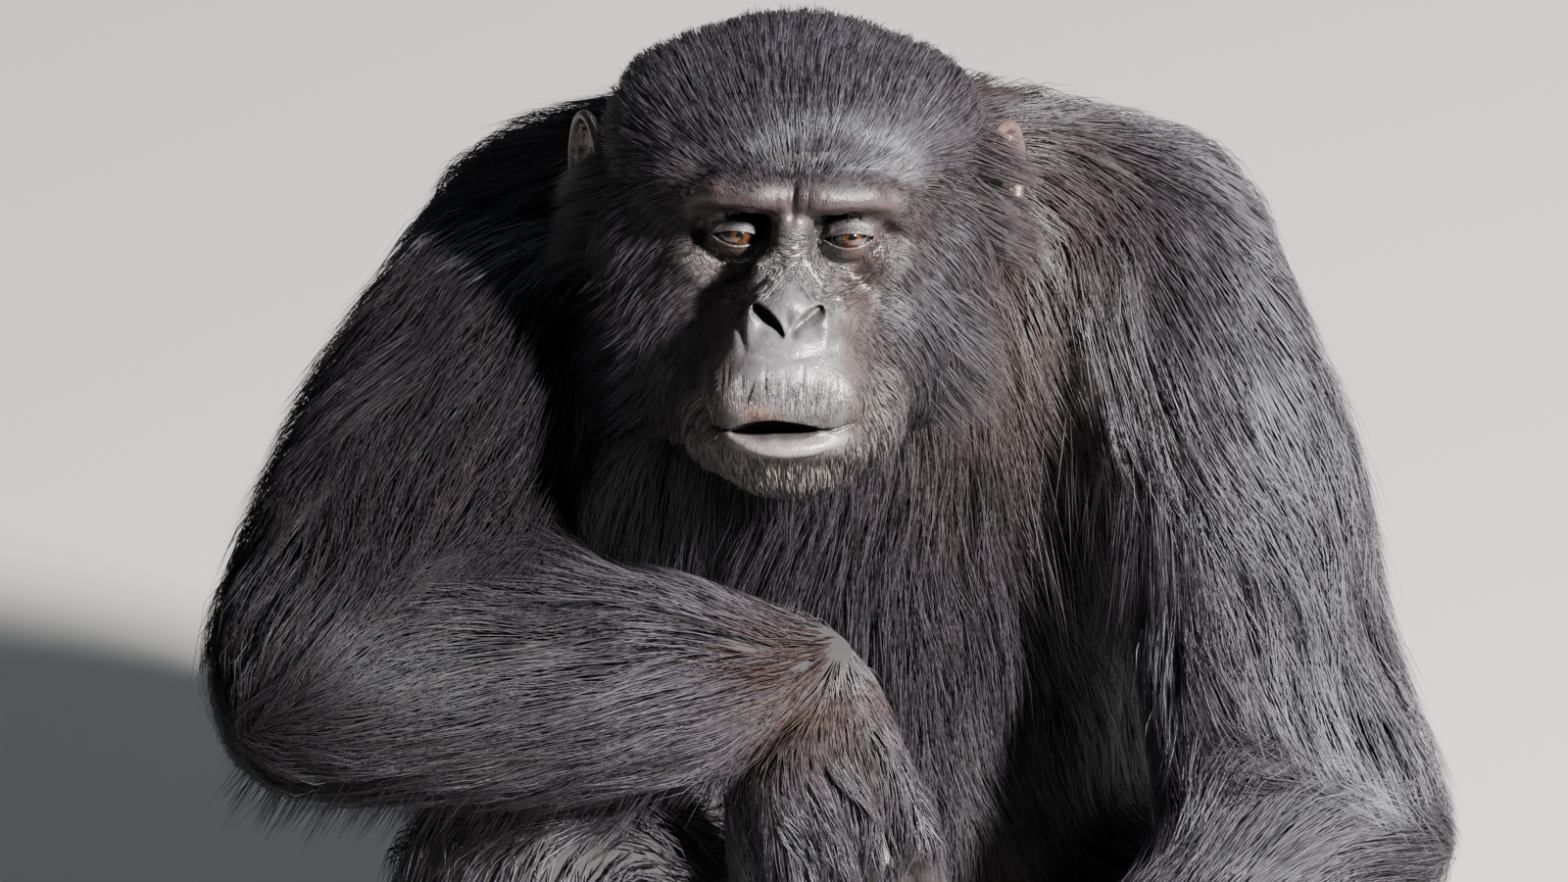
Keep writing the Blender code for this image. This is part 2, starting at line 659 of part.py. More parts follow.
def main():
    clear_scene()
    coat = material("black_coat", COAT_COLOUR, roughness=0.55, sheen=0.3)
    bare = material("bare_skin", BARE_COLOUR, roughness=0.42)
    iris = material("eye", IRIS_COLOUR, roughness=0.08)

    # Head, with the lids opened over the eyes and the jaw parted off along the mouth.
    eyes = {side: eyeball(side) for side in (-1, 1)}
    head_whole = head()
    skull_mesh, jaw_mesh = parted(head_whole, HEAD @ MOUTH_POINT, HEAD.to_3x3() @ JAW_DOWN)
    head_mesh = carved(skull_mesh, eye_opening(-1), eye_opening(1), eyes[-1], eyes[1])

    # Trunk, parted at the waist and round the root of the neck, with the neck fitted to the head.
    trunk_whole = above_floor(trunk())
    abdomen_mesh, above_waist = parted(trunk_whole, (0, RIBS.y, WAIST_HEIGHT), WAIST_UP)
    neck_mesh, chest_mesh = parted_by_ball(above_waist, NECK_CUT_MIDDLE, NECK_CUT_RADIUS)
    chest_mesh = carved(chest_mesh, head_whole)
    neck_mesh = carved(neck_mesh, head_whole)

    # Legs, each parted at the knee and the ankle.
    legs = {}
    for name, hip, knee, ankle, heading, toe_side in LEGS:
        whole = above_floor(leg(hip, knee, ankle))
        thigh_mesh, shank = parted(whole, *bend_plane(hip, knee, ankle))
        thigh_mesh = carved(thigh_mesh, abdomen_mesh, chest_mesh)
        ankle_cut = Vector((0, 0, ANKLE_HEIGHT))
        shank_mesh = half(shank, ankle_cut, (0, 0, 1))
        legs[name] = (thigh_mesh, shank_mesh)
        place("thigh_" + name, thigh_mesh, coat)
        place("shank_" + name, shank_mesh, coat)
        place("foot_" + name, half(above_floor(foot(ankle, heading, toe_side)), ankle_cut, (0, 0, -1)), bare)

    # Arms, each parted at the elbow and the wrist and fitted round what they lie on.
    for name, joints, radii, along, back, thumb_side, curls, fringe in ARMS:
        shoulder, elbow, wrist = joints
        whole = arm(shoulder, elbow, wrist, *radii, along, fringe)
        upper_mesh, rest = parted(whole, *bend_plane(shoulder, elbow, wrist))
        wrist_cut = bend_plane(elbow, wrist, reach(wrist, along, CUFF_LENGTH))
        fore_mesh = parted(rest, *wrist_cut)[0]
        hand_mesh = half(hand(wrist, along, back, thumb_side, curls), *wrist_cut)
        place("upper_arm_" + name, carved(upper_mesh, chest_mesh, neck_mesh, skull_mesh), coat)
        place("forearm_" + name, carved(fore_mesh, chest_mesh, abdomen_mesh, *legs[name]), coat)
        place("hand_" + name, carved(hand_mesh, *legs[name]), bare)

    place("head", head_mesh, coat)
    place("lower_jaw", jaw_mesh, coat)
    place("neck", neck_mesh, coat)
    place("chest", chest_mesh, coat)
    place("abdomen", abdomen_mesh, coat)
    for side, name in ((-1, "r"), (1, "l")):
        place("eye_" + name, eyes[side], iris)
        place("ear_" + name, carved(ear(side), head_mesh, neck_mesh), bare)
    centre_on_origin()


main()
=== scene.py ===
import json
import math

import bmesh
import bpy
import numpy as np
from mathutils import Matrix, Vector
from mathutils import noise
from mathutils.bvhtree import BVHTree
from mathutils.kdtree import KDTree

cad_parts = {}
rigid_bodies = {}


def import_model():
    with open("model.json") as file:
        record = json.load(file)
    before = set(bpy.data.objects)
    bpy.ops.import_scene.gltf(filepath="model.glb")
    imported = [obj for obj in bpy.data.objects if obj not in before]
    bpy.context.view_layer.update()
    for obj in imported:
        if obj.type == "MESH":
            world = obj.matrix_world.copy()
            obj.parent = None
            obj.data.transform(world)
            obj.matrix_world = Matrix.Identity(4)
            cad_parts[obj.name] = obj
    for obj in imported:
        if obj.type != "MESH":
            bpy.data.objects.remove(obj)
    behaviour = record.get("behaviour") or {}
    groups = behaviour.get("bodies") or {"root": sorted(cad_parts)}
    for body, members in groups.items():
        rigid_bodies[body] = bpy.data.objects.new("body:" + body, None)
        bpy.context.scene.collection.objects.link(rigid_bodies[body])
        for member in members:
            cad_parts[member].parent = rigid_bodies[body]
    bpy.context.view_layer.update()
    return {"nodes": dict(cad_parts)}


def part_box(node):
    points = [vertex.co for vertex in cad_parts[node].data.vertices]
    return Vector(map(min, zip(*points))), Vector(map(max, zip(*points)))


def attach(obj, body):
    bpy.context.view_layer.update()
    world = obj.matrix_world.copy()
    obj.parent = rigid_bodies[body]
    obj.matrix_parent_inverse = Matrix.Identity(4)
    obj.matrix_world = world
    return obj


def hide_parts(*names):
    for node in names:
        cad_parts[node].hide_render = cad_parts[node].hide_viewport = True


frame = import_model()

# ---------------------------------------------------------------- The animal's place
# A full-grown chimpanzee that sits on its rump facing -Y, its left side at +X. All of it is laid out from
# the point between the pupils, where the head's own axes stand: x to its left, y to the back of the skull,
# z to the crown.

EYE_RADIUS = 0.0112
EYE_DEPTH = 0.0112
PUPIL_SPAN = 0.0548
HEAD_TURN = math.radians(3)
HEAD_LIFT = math.radians(14)
EYES_MIDDLE = Vector((0.0043, -0.172, 0.632))

turned_head = Matrix.Rotation(-HEAD_TURN, 4, "Z") @ Matrix.Rotation(-HEAD_LIFT, 4, "X")
eye_corners = [corner for name in ("eye_r", "eye_l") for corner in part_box(name)]
eyes_centre = sum(eye_corners, Vector()) / len(eye_corners)
HEAD = Matrix.Translation(eyes_centre - turned_head @ Vector((0, EYE_DEPTH, 0))) @ turned_head
SHIFT = HEAD.translation - EYES_MIDDLE


def at(x, y, z):
    """A point of the animal, given from the spot on the floor that the body is built round."""
    return Vector((x, y, z)) + SHIFT


# ---------------------------------------------------------------- Camera, floor and lights
# A long lens stands well above the animal and in front of it. The floor is pale and plain, a broad warm lamp
# stands high on the animal's left like a low sun, and wide cool panels fill the rest.

CAMERA_ELEVATION = math.radians(28)
CAMERA_DISTANCE = 6.5
FRAME_WIDTH = 0.768
SENSOR_WIDTH = 36.0
FLOOR_COLOUR = (0.31, 0.306, 0.296)
FLOOR_SIZE = 30
SKY_COLOUR = (0.80, 0.86, 1.0)
SKY_STRENGTH = 0.06
LAMPS = (
    # name, direction from the animal with the distance, size, watts, colour
    ("sun_lamp", Vector((2.9, -2.3, 2.8)), 0.45, 2050, (1.0, 0.97, 0.93)),
    ("sky_panel", Vector((-1.8, -2.0, 3.6)), 2.6, 7, (0.76, 0.86, 1.0)),
    ("back_panel", Vector((0.6, 2.4, 3.4)), 2.2, 60, (0.84, 0.91, 1.0)),
)


def placed(name, data):
    """A new object of the scene."""
    made = bpy.data.objects.new(name, data)
    bpy.context.scene.collection.objects.link(made)
    return made


def mesh_of(bm, name):
    """What has been built so far as a mesh of its own."""
    mesh = bpy.data.meshes.new(name)
    bm.to_mesh(mesh)
    bm.free()
    return mesh


def feed(made, *inputs, **settings):
    """Sets a node's properties and its inputs, each by a value or by another node's output."""
    for key, value in (*enumerate(inputs), *settings.items()):
        if isinstance(key, str) and hasattr(made, key):
            setattr(made, key, value)
            continue
        socket = made.inputs[key.replace("_", " ") if isinstance(key, str) else key]
        if isinstance(value, bpy.types.NodeSocket):
            made.id_data.links.new(value, socket)
        else:
            socket.default_value = value


def new_finish(name, **inputs):
    """A new material and its shader, with those of the shader's inputs set that are the same all over."""
    finish = bpy.data.materials.new(name)
    finish.use_nodes = True
    shader = finish.node_tree.nodes["Principled BSDF"]
    feed(shader, **inputs)
    return finish, shader


camera_target = at(0, -0.19, 0.53)
camera_back = Vector((0, -math.cos(CAMERA_ELEVATION), math.sin(CAMERA_ELEVATION)))
camera_data = bpy.data.cameras.new("camera")
camera_data.sensor_width = SENSOR_WIDTH
camera_data.lens = SENSOR_WIDTH * CAMERA_DISTANCE / FRAME_WIDTH
camera = placed("camera", camera_data)
camera.location = camera_target + camera_back * CAMERA_DISTANCE
camera.rotation_euler = (-camera_back).to_track_quat("-Z", "Y").to_euler()
bpy.context.scene.camera = camera

floor_bm = bmesh.new()
bmesh.ops.create_grid(floor_bm, x_segments=1, y_segments=1, size=FLOOR_SIZE)
floor = placed("floor", mesh_of(floor_bm, "floor"))
floor.data.materials.append(new_finish("pale_floor", Base_Color=(*FLOOR_COLOUR, 1), Roughness=0.85)[0])

for lamp_name, lamp_from, lamp_size, lamp_power, lamp_colour in LAMPS:
    lamp_data = bpy.data.lights.new(lamp_name, "AREA")
    lamp_data.size = lamp_size
    lamp_data.energy = lamp_power
    lamp_data.color = lamp_colour
    lamp = placed(lamp_name, lamp_data)
    lamp.location = at(0, -0.1, 0.4) + lamp_from
    lamp.rotation_euler = (-lamp_from).to_track_quat("-Z", "Y").to_euler()

sky = bpy.data.worlds.new("sky")
sky.use_nodes = True
feed(sky.node_tree.nodes["Background"], Color=(*SKY_COLOUR, 1), Strength=SKY_STRENGTH)
bpy.context.scene.world = sky

# ---------------------------------------------------------------- Skin of the trunk and limbs
# The hide under the coat of trunk, neck, arms and legs, drawn over the fused flesh and set in by the depth
# of the hair, which is deepest on the shoulders and the back and thin on the belly and near the seat.

COAT_DEPTH = {
    "head": 0.016, "lower_jaw": 0.016, "neck": 0.014, "chest": 0.011, "abdomen": 0.009,
    "upper_arm": 0.017, "forearm": 0.016, "hand": 0.014, "thigh": 0.014, "shank": 0.012, "foot": 0.010,
    "ear": 0.006,
}  # fmt: skip
BARE_ENDS = {"hand": (0.009, 0.09), "foot": (0.008, 0.06)}  # coat's depth next to these, its reach
ARMPIT_REACH = 0.075  # where two limbs face each other nearer than this the hair is short
ARMPIT_SHARE = 0.25  # of the coat's depth
SEAT_HEIGHT = 0.05
SEAT_SHARE = 0.25
BODY_VOXEL = 0.0085


def evaluated(mesh, *modifiers):
    """A new mesh: the given one as the modifiers, each a type and its settings, leave it."""
    thing = placed("work", mesh)
    for kind, settings in modifiers:
        modifier = thing.modifiers.new(kind.lower(), kind)
        for key, value in settings.items():
            setattr(modifier, key, value)
    depsgraph = bpy.context.evaluated_depsgraph_get()
    result = bpy.data.meshes.new_from_object(thing.evaluated_get(depsgraph))
    bpy.data.objects.remove(thing)
    return result


def melted(mesh, voxel, smoothing):
    """Overlapping masses as one closed and smooth body of even quads."""
    return evaluated(
        mesh,
        ("REMESH", {"mode": "VOXEL", "voxel_size": voxel}),
        ("SMOOTH", {"factor": 0.5, "iterations": smoothing}),
    )


def rows_of(items, key, width, kind=np.float32):
    """One property of a mesh's points, edges or faces as rows of numbers."""
    flat = np.zeros(len(items) * width, kind)
    items.foreach_get(key, flat)
    return flat.reshape(-1, width)


def points_of(mesh):
    """The points of a mesh as rows of numbers."""
    return rows_of(mesh.vertices, "co", 3).astype(float)


def normals_of(mesh):
    """The outward direction at each point of a mesh."""
    return rows_of(mesh.vertices, "normal", 3).astype(float)


def set_points(mesh, points):
    """Moves the points of a mesh to the given rows."""
    mesh.vertices.foreach_set("co", np.ascontiguousarray(points, np.float32).ravel())
    mesh.update()


def edges_of(mesh):
    """The two ends of each edge of a mesh."""
    return rows_of(mesh.edges, "vertices", 2, np.int32)


def averaged(values, edges, rounds):
    """Values at the points of a mesh, evened out with those of their neighbours a number of times."""
    values = np.array(values, float)
    flat = values.ndim == 1
    values = values.reshape(len(values), -1)
    ends = np.concatenate([edges[:, 0], edges[:, 1]])
    others = np.concatenate([edges[:, 1], edges[:, 0]])
    count = 1.0 + np.bincount(ends, minlength=len(values))
    for _ in range(rounds):
        total = np.stack(
            [np.bincount(ends, column[others], minlength=len(values)) for column in values.T], 1
        )
        values = (values + total) / count[:, None]
    return values[:, 0] if flat else values


def append(bm, piece):
    """Adds a small body of its own to the masses."""
    mesh = mesh_of(piece, "piece")
    bm.from_mesh(mesh)
    bpy.data.meshes.remove(mesh)


def part_of(name):
    """The name of a solid without its side."""
    return name.removesuffix("_r").removesuffix("_l")


cad_nodes = sorted(name for name in frame["nodes"] if not name.startswith("eye_"))
flesh_bm = bmesh.new()
for name in cad_nodes:
    if part_of(name) not in ("hand", "foot", "ear"):
        copy = bmesh.new()
        copy.from_mesh(frame["nodes"][name].data)
        bmesh.ops.remove_doubles(copy, verts=copy.verts[:], dist=0.00001)
        append(flesh_bm, copy)

# One search tree over all the solids tells which of them a point of the skin belongs to.
cad_points, cad_faces, cad_owner = [], [], []
for index, name in enumerate(cad_nodes):
    data = frame["nodes"][name].data
    data.calc_loop_triangles()
    offset = len(cad_points)
    cad_points.extend(v.co for v in data.vertices)
    cad_faces.extend([offset + v for v in triangle.vertices] for triangle in data.loop_triangles)
    cad_owner.extend([index] * len(data.loop_triangles))
cad_tree = BVHTree.FromPolygons(cad_points, cad_faces)


def owners(points):
    """For each point, the place in the list of solids of the nearest one."""
    return np.array([cad_owner[cad_tree.find_nearest(point)[2]] for point in points.tolist()])


depth_of_node = np.array([COAT_DEPTH[part_of(name)] for name in cad_nodes])
hide = melted(mesh_of(flesh_bm, "flesh"), BODY_VOXEL, 6)
hide_points = points_of(hide)
hide_depth = depth_of_node[owners(hide_points)]
hide_normals = normals_of(hide)
for index, (point, normal) in enumerate(zip(hide_points.tolist(), hide_normals.tolist())):
    start = Vector(point) + Vector(normal) * 0.012
    if cad_tree.ray_cast(start, Vector(normal), ARMPIT_REACH)[0] is not None:
        hide_depth[index] *= ARMPIT_SHARE
for name, (low, high) in BARE_ENDS.items():
    near_end = np.zeros(len(hide_points))
    for box in [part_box(name + side) for side in ("_r", "_l")]:
        middle = np.array((box[0] + box[1]) / 2)
        half_size = np.array(box[1] - box[0]) / 2
        gap = np.linalg.norm(np.maximum(np.abs(hide_points - middle) - half_size, 0), axis=1)
        near_end = np.maximum(near_end, 1 - np.clip(gap / high, 0, 1))
    hide_depth += (low - hide_depth) * near_end
hide_depth = averaged(hide_depth, edges_of(hide), 12)
hide_depth *= SEAT_SHARE + (1 - SEAT_SHARE) * np.clip(hide_points[:, 2] / SEAT_HEIGHT, 0, 1)
set_points(hide, hide_points - normals_of(hide) * hide_depth[:, None])
hide = melted(hide, BODY_VOXEL, 3)

# ---------------------------------------------------------------- Skin of the head
# Skull, brow ridge, muzzle and lips. The face from the brow to the lower lip is bare leather, so it lies in
# the solid's own surface; crown, cheeks and throat are set in under their hair. Folds and creases are
# pressed in last.

HEAD_VOXEL = 0.0024
HEAD_MASSES = (
    # centre, then half the width, depth and height
    ((0, 0.084, 0.013), (0.089, 0.070, 0.079)),  # skull
    ((0, 0.046, 0.034), (0.063, 0.042, 0.041)),  # forehead
    ((0, 0.036, -0.012), (0.058, 0.030, 0.042)),  # plane of the eyes
    ((0, 0.014, -0.052), (0.046, 0.050, 0.040)),  # upper jaw
    ((0, -0.020, -0.064), (0.041, 0.044, 0.034)),  # muzzle
    ((0, -0.042, -0.064), (0.034, 0.0235, 0.023)),  # upper lip
    ((0, -0.043, -0.0915), (0.032, 0.019, 0.0105)),  # lower lip
    ((0, -0.014, -0.099), (0.037, 0.034, 0.025)),  # chin
    ((0, 0.024, -0.085), (0.051, 0.052, 0.034)),  # throat's side of the jaw
    ((0, -0.030, -0.030), (0.017, 0.015, 0.012)),  # nose tip
)
HEAD_SIDE_MASSES = (
    ((0.046, 0.078, 0.035), (0.046, 0.050, 0.046)),  # side of the skull
    ((0.049, 0.070, -0.020), (0.050, 0.048, 0.058)),  # cheek's muscle
    ((0.046, 0.056, -0.055), (0.043, 0.049, 0.052)),  # jaw's corner
    ((0.045, 0.050, 0.018), (0.033, 0.036, 0.042)),  # temple
    ((0.045, 0.022, -0.017), (0.018, 0.016, 0.015)),  # cheekbone
    ((0.045, 0.040, -0.046), (0.031, 0.034, 0.040)),  # cheek
    ((0.021, -0.038, -0.068), (0.019, 0.023, 0.0195)),  # side of the upper lip
    ((0.025, -0.026, -0.092), (0.016, 0.024, 0.0130)),  # side of the lower lip
    ((0.029, 0.004, -0.086), (0.026, 0.034, 0.030)),  # side of the chin
    ((PUPIL_SPAN / 2, 0.0115, 0.0008), (0.0160, 0.0124, 0.0112)),  # eyelids
    ((0.0088, -0.014, -0.020), (0.0125, 0.0135, 0.0160)),  # side of the nose
    ((0.0142, -0.031, -0.0340), (0.0088, 0.0088, 0.0085)),  # wing of the nose
    ((0.0160, -0.029, -0.0480), (0.0160, 0.0205, 0.0160)),  # between the nose and the lip
)
BROW_ARCH = (
    # points of the brow ridge from the middle outwards, then its radius
    ((0.000, -0.003, 0.0215), 0.0090),
    ((0.014, -0.006, 0.0230), 0.0100),
    ((0.033, 0.000, 0.0220), 0.0104),
    ((0.049, 0.013, 0.0150), 0.0094),
    ((0.056, 0.026, 0.0040), 0.0080),
)
NOSE_BRIDGE = ((0, 0.001, 0.012), 0.010, (0, -0.022, -0.022), 0.0135)
CRISP_SPOTS = (
    # middle from the front, then half the width and height: brow, both lids, nose and the middle of the lips
    ((0, 0.021), (0.058, 0.012)),
    ((PUPIL_SPAN / 2, 0.0), (0.020, 0.012)),
    ((-PUPIL_SPAN / 2, 0.0), (0.020, 0.012)),
    ((0, -0.022), (0.024, 0.030)),
    ((0, -0.082), (0.020, 0.016)),
)
CROWN_DRIFT = 0.04


def add_ball(bm, centre, radii, seat=Matrix()):
    """Adds an ellipsoid to the masses, its centre and radii given in the seat's own axes."""
    ball = bmesh.new()
    place = seat @ Matrix.Translation(centre) @ Matrix.Diagonal((*radii, 1))
    bmesh.ops.create_uvsphere(ball, u_segments=40, v_segments=26, radius=1, matrix=place)
    append(bm, ball)


def add_taper(bm, start, start_radius, end, end_radius, seat=Matrix()):
    """Adds a truncated cone with a ball at either end."""
    start, end = Vector(start), Vector(end)
    along = end - start
    turn = along.to_track_quat("Z", "Y").to_matrix().to_4x4()
    cone = bmesh.new()
    bmesh.ops.create_cone(
        cone,
        cap_ends=True,
        segments=32,
        radius1=start_radius,
        radius2=end_radius,
        depth=along.length,
        matrix=seat @ Matrix.Translation((start + end) / 2) @ turn,
    )
    append(bm, cone)
    add_ball(bm, start, (start_radius,) * 3, seat)
    add_ball(bm, end, (end_radius,) * 3, seat)


def drifted(point):
    """A place of the head, moved to the animal's right in proportion to how far back it is."""
    return Vector((point[0] - CROWN_DRIFT * max(0.0, point[1]), point[1], point[2]))


def mirrored(point, side):
    """A point of the animal's left side, or its twin on the right where side is -1."""
    return Vector((point[0] * side, point[1], point[2]))


head_bm = bmesh.new()
for centre, radii in HEAD_MASSES:
    add_ball(head_bm, drifted(centre), radii)
add_taper(head_bm, *NOSE_BRIDGE)
for side in (-1, 1):
    for centre, radii in HEAD_SIDE_MASSES:
        add_ball(head_bm, drifted(mirrored(centre, side)), radii)
    for (inner, inner_radius), (outer, outer_radius) in zip(BROW_ARCH, BROW_ARCH[1:]):
        add_taper(head_bm, mirrored(inner, side), inner_radius, mirrored(outer, side), outer_radius)


def behind_face(points):
    """1 on the skull and the back of the head, 0 on the face."""
    return np.clip((points[:, 1] - 0.012) / 0.025 + (points[:, 2] - 0.034) / 0.012, 0, 1)


def off_crisp_spots(points):
    """0 where brow, lids, nose and lips keep their edges, 1 on cheeks, muzzle and chin."""
    crisp = np.zeros(len(points))
    for (x, z), (half_width, half_height) in CRISP_SPOTS:
        off = np.hypot((points[:, 0] - x) / half_width, (points[:, 2] - z) / half_height)
        crisp = np.maximum(crisp, np.clip(2.6 - 1.6 * off, 0, 1))
    return 1 - crisp


face = melted(mesh_of(head_bm, "head_masses"), HEAD_VOXEL, 3)
for rounds, share_of in ((30, behind_face), (12, off_crisp_spots)):
    raw_points = points_of(face)
    even_points = averaged(raw_points, edges_of(face), rounds)
    set_points(face, raw_points + (even_points - raw_points) * share_of(raw_points)[:, None])
face.transform(HEAD)

# ---------------------------------------------------------------- Skin of the ears
# Round, thin shells of gristle set out from the side of the head behind the jaw's corner: a rolled rim, an
# inner fold that follows it, a deep bowl over the ear's passage and a small flap before it.

EAR_MIDDLE = (0.100, 0.100, 0.009)
EAR_HALF_SIZE = (0.0195, 0.0275)
EAR_FLARE = math.radians(24)
EAR_LEAN = math.radians(-12)
EAR_VOXEL = 0.0013
RIM_BEADS = 90
RIM_RADIUS = 0.0030
FOLD_BEADS = 44
FOLD_RADIUS = 0.0024


def ear_seat(side):
    """Axes of an ear: x out of its plate, y back, z up."""
    flare = Matrix.Rotation(-side * EAR_FLARE, 4, "Z")
    lean = Matrix.Rotation(EAR_LEAN, 4, "X")
    return HEAD @ Matrix.Translation(drifted(mirrored(EAR_MIDDLE, side))) @ flare @ lean


def eased(low, high, values):
    """0 below low, 1 above high and a soft step in between."""
    share = np.clip((values - low) / (high - low), 0, 1)
    return share * share * (3 - 2 * share)


def in_axes(seat, points):
    """Points as they lie in a seat's own axes."""
    inverse = np.array(seat.inverted())
    return points @ inverse[:3, :3].T + inverse[:3, 3]


ears = []
deep, tall = EAR_HALF_SIZE
for side in (-1, 1):
    ear_bm = bmesh.new()
    seat = ear_seat(side)
    add_ball(ear_bm, (-side * 0.0005, 0, 0), (0.0030, deep * 0.97, tall * 0.97), seat)
    for bead in range(RIM_BEADS):
        angle = 2 * math.pi * bead / RIM_BEADS
        rim = (side * RIM_RADIUS, deep * math.sin(angle), tall * math.cos(angle))
        add_ball(ear_bm, rim, (RIM_RADIUS,) * 3, seat)
    for bead in range(FOLD_BEADS):
        angle = math.radians(20 + 200 * bead / (FOLD_BEADS - 1))
        fold = (side * 0.0022, 0.62 * deep * math.sin(angle), 0.66 * tall * math.cos(angle) + 0.002)
        add_ball(ear_bm, fold, (FOLD_RADIUS,) * 3, seat)
    add_ball(ear_bm, (side * 0.003, -deep * 0.80, -tall * 0.22), (0.0042, 0.0035, 0.0062), seat)
    add_ball(ear_bm, (-side * 0.007, -deep * 0.35, -0.002), (0.0090, 0.0130, 0.0190), seat)
    shell = melted(mesh_of(ear_bm, "ear_masses"), EAR_VOXEL, 3)
    shell_points = points_of(shell)
    seated = in_axes(seat, shell_points)
    outside = eased(-0.001, 0.002, side * seated[:, 0])
    for (y, z), (half_y, half_z), sink in (
        ((-deep * 0.28, -0.002), (0.0072, 0.0105), 0.0055),
        ((0.0060, 0.0150), (0.0060, 0.0050), 0.0012),
    ):
        hollow = np.exp(-(((seated[:, 1] - y) / half_y) ** 4) - ((seated[:, 2] - z) / half_z) ** 4)
        shell_points -= normals_of(shell) * (sink * hollow * outside)[:, None]
    set_points(shell, shell_points)
    ears.append(shell)

# ---------------------------------------------------------------- Skin of the hands
# Long black leathery hands, the fingers curled as they hang, with thick joints and a short thumb low on the
# edge.

PALM_LENGTH = 0.098
FINGER_LENGTH = 0.125
HAND_VOXEL = 0.0029
FINGERS = (
    # place across the palm, share of the longest finger, radius at the knuckle
    (-0.0300, 0.88, 0.0098),
    (-0.0105, 1.00, 0.0105),
    (0.0095, 0.97, 0.0102),
    (0.0285, 0.80, 0.0090),
)
JOINT_SHARES = (0.46, 0.31, 0.23)
UPPER_ARM, FOREARM, THIGH, SHIN = 0.285, 0.250, 0.300, 0.250


def reach(start, towards, length):
    """The point that lies length from start along the direction towards."""
    return start + Vector(towards).normalized() * length


SHOULDERS = {"r": at(-0.130, 0.002, 0.512), "l": at(0.192, 0.002, 0.512)}
ELBOWS = {
    "r": reach(SHOULDERS["r"], (-0.096, -0.256, -0.080), UPPER_ARM),
    "l": reach(SHOULDERS["l"], (0.099, -0.132, -0.234), UPPER_ARM),
}
WRISTS = {
    "r": reach(ELBOWS["r"], (0.236, 0.075, -0.046), FOREARM),
    "l": reach(ELBOWS["l"], (-0.150, -0.165, -0.030), FOREARM),
}
HAND_ALONG = {"r": Vector((0.32, -0.22, -1)), "l": Vector((-0.12, -0.30, -1))}
HAND_BACK = {"r": Vector((0.10, -1, 0.25)), "l": Vector((-0.20, -1, 0.30))}
FINGER_CURLS = {"r": (12, 22, 16), "l": (18, 30, 22)}
SIDE_OF = {"r": -1, "l": 1}
nail_beds = []  # seat and half width of every nail, found as the fingers and toes are laid


def limb_seat(origin, along, back):
    """Axes at a wrist or ankle: y runs along the hand or foot, z out of its back."""
    y = Vector(along).normalized()
    x = y.cross(Vector(back)).normalized()
    z = x.cross(y)
    return Matrix.Translation(origin) @ Matrix((x, y, z)).transposed().to_4x4()


def add_finger(bm, seat, root, heading, length, radius, curls, knuckle=1.08):
    """Adds a finger or toe of three lengths, bent towards the seat's -z, thick at the joints."""
    point = Vector(root)
    slope = 0.0
    for share, curl in zip(JOINT_SHARES, curls):
        slope += math.radians(curl)
        flat = Vector((math.sin(heading), math.cos(heading), 0)) * math.cos(slope)
        step = (flat + Vector((0, 0, -math.sin(slope)))) * length * share
        add_taper(bm, point, radius, point + step, radius * 0.88, seat)
        add_ball(bm, point, (radius * knuckle,) * 3, seat)
        point = point + step
        radius *= 0.90
    tip_seat = seat @ limb_seat(point, step, Vector((0, 0, 1)) + step)
    nail_beds.append((tip_seat, radius))


hands, hand_seats = [], {}
for name, side in SIDE_OF.items():
    thumb_side = -side
    seat = hand_seats[name] = limb_seat(WRISTS[name], HAND_ALONG[name], HAND_BACK[name])
    hand_bm = bmesh.new()
    add_ball(hand_bm, (0, -0.004, 0), (0.031, 0.032, 0.023), seat)
    towards_elbow = seat.inverted() @ ELBOWS[name]
    add_taper(hand_bm, (0, 0, 0), 0.026, tuple(towards_elbow.normalized() * 0.05), 0.027, seat)
    for across, share, radius in FINGERS:
        place_x = across * -thumb_side
        knuckle = Vector((place_x * 1.05, PALM_LENGTH * (0.94 + 0.06 * share), 0.004))
        add_taper(hand_bm, (place_x * 0.60, 0.012, 0), 0.0178, knuckle, radius * 1.22, seat)
        add_ball(hand_bm, knuckle + Vector((0, -0.002, 0.0035)), (radius * 1.1,) * 3, seat)
        spread = math.radians(3.5) * place_x / 0.03
        add_finger(hand_bm, seat, knuckle, spread, FINGER_LENGTH * share, radius, FINGER_CURLS[name])
    thumb_root = (thumb_side * 0.026, 0.022, -0.006)
    thumb_knuckle = (thumb_side * 0.043, 0.054, -0.014)
    add_taper(hand_bm, thumb_root, 0.014, thumb_knuckle, 0.0100, seat)
    add_finger(hand_bm, seat, thumb_knuckle, math.radians(thumb_side * 16), 0.052, 0.0088, (10, 14, 12))
    hands.append(melted(mesh_of(hand_bm, "hand_masses"), HAND_VOXEL, 2))

# ---------------------------------------------------------------- Skin of the feet
# Flat black feet set down on the floor on heel, outer edge and toes; the great toe stands off like a thumb.
# Their soles are thick bare pads, and the ankle runs up under the hair of the shank.

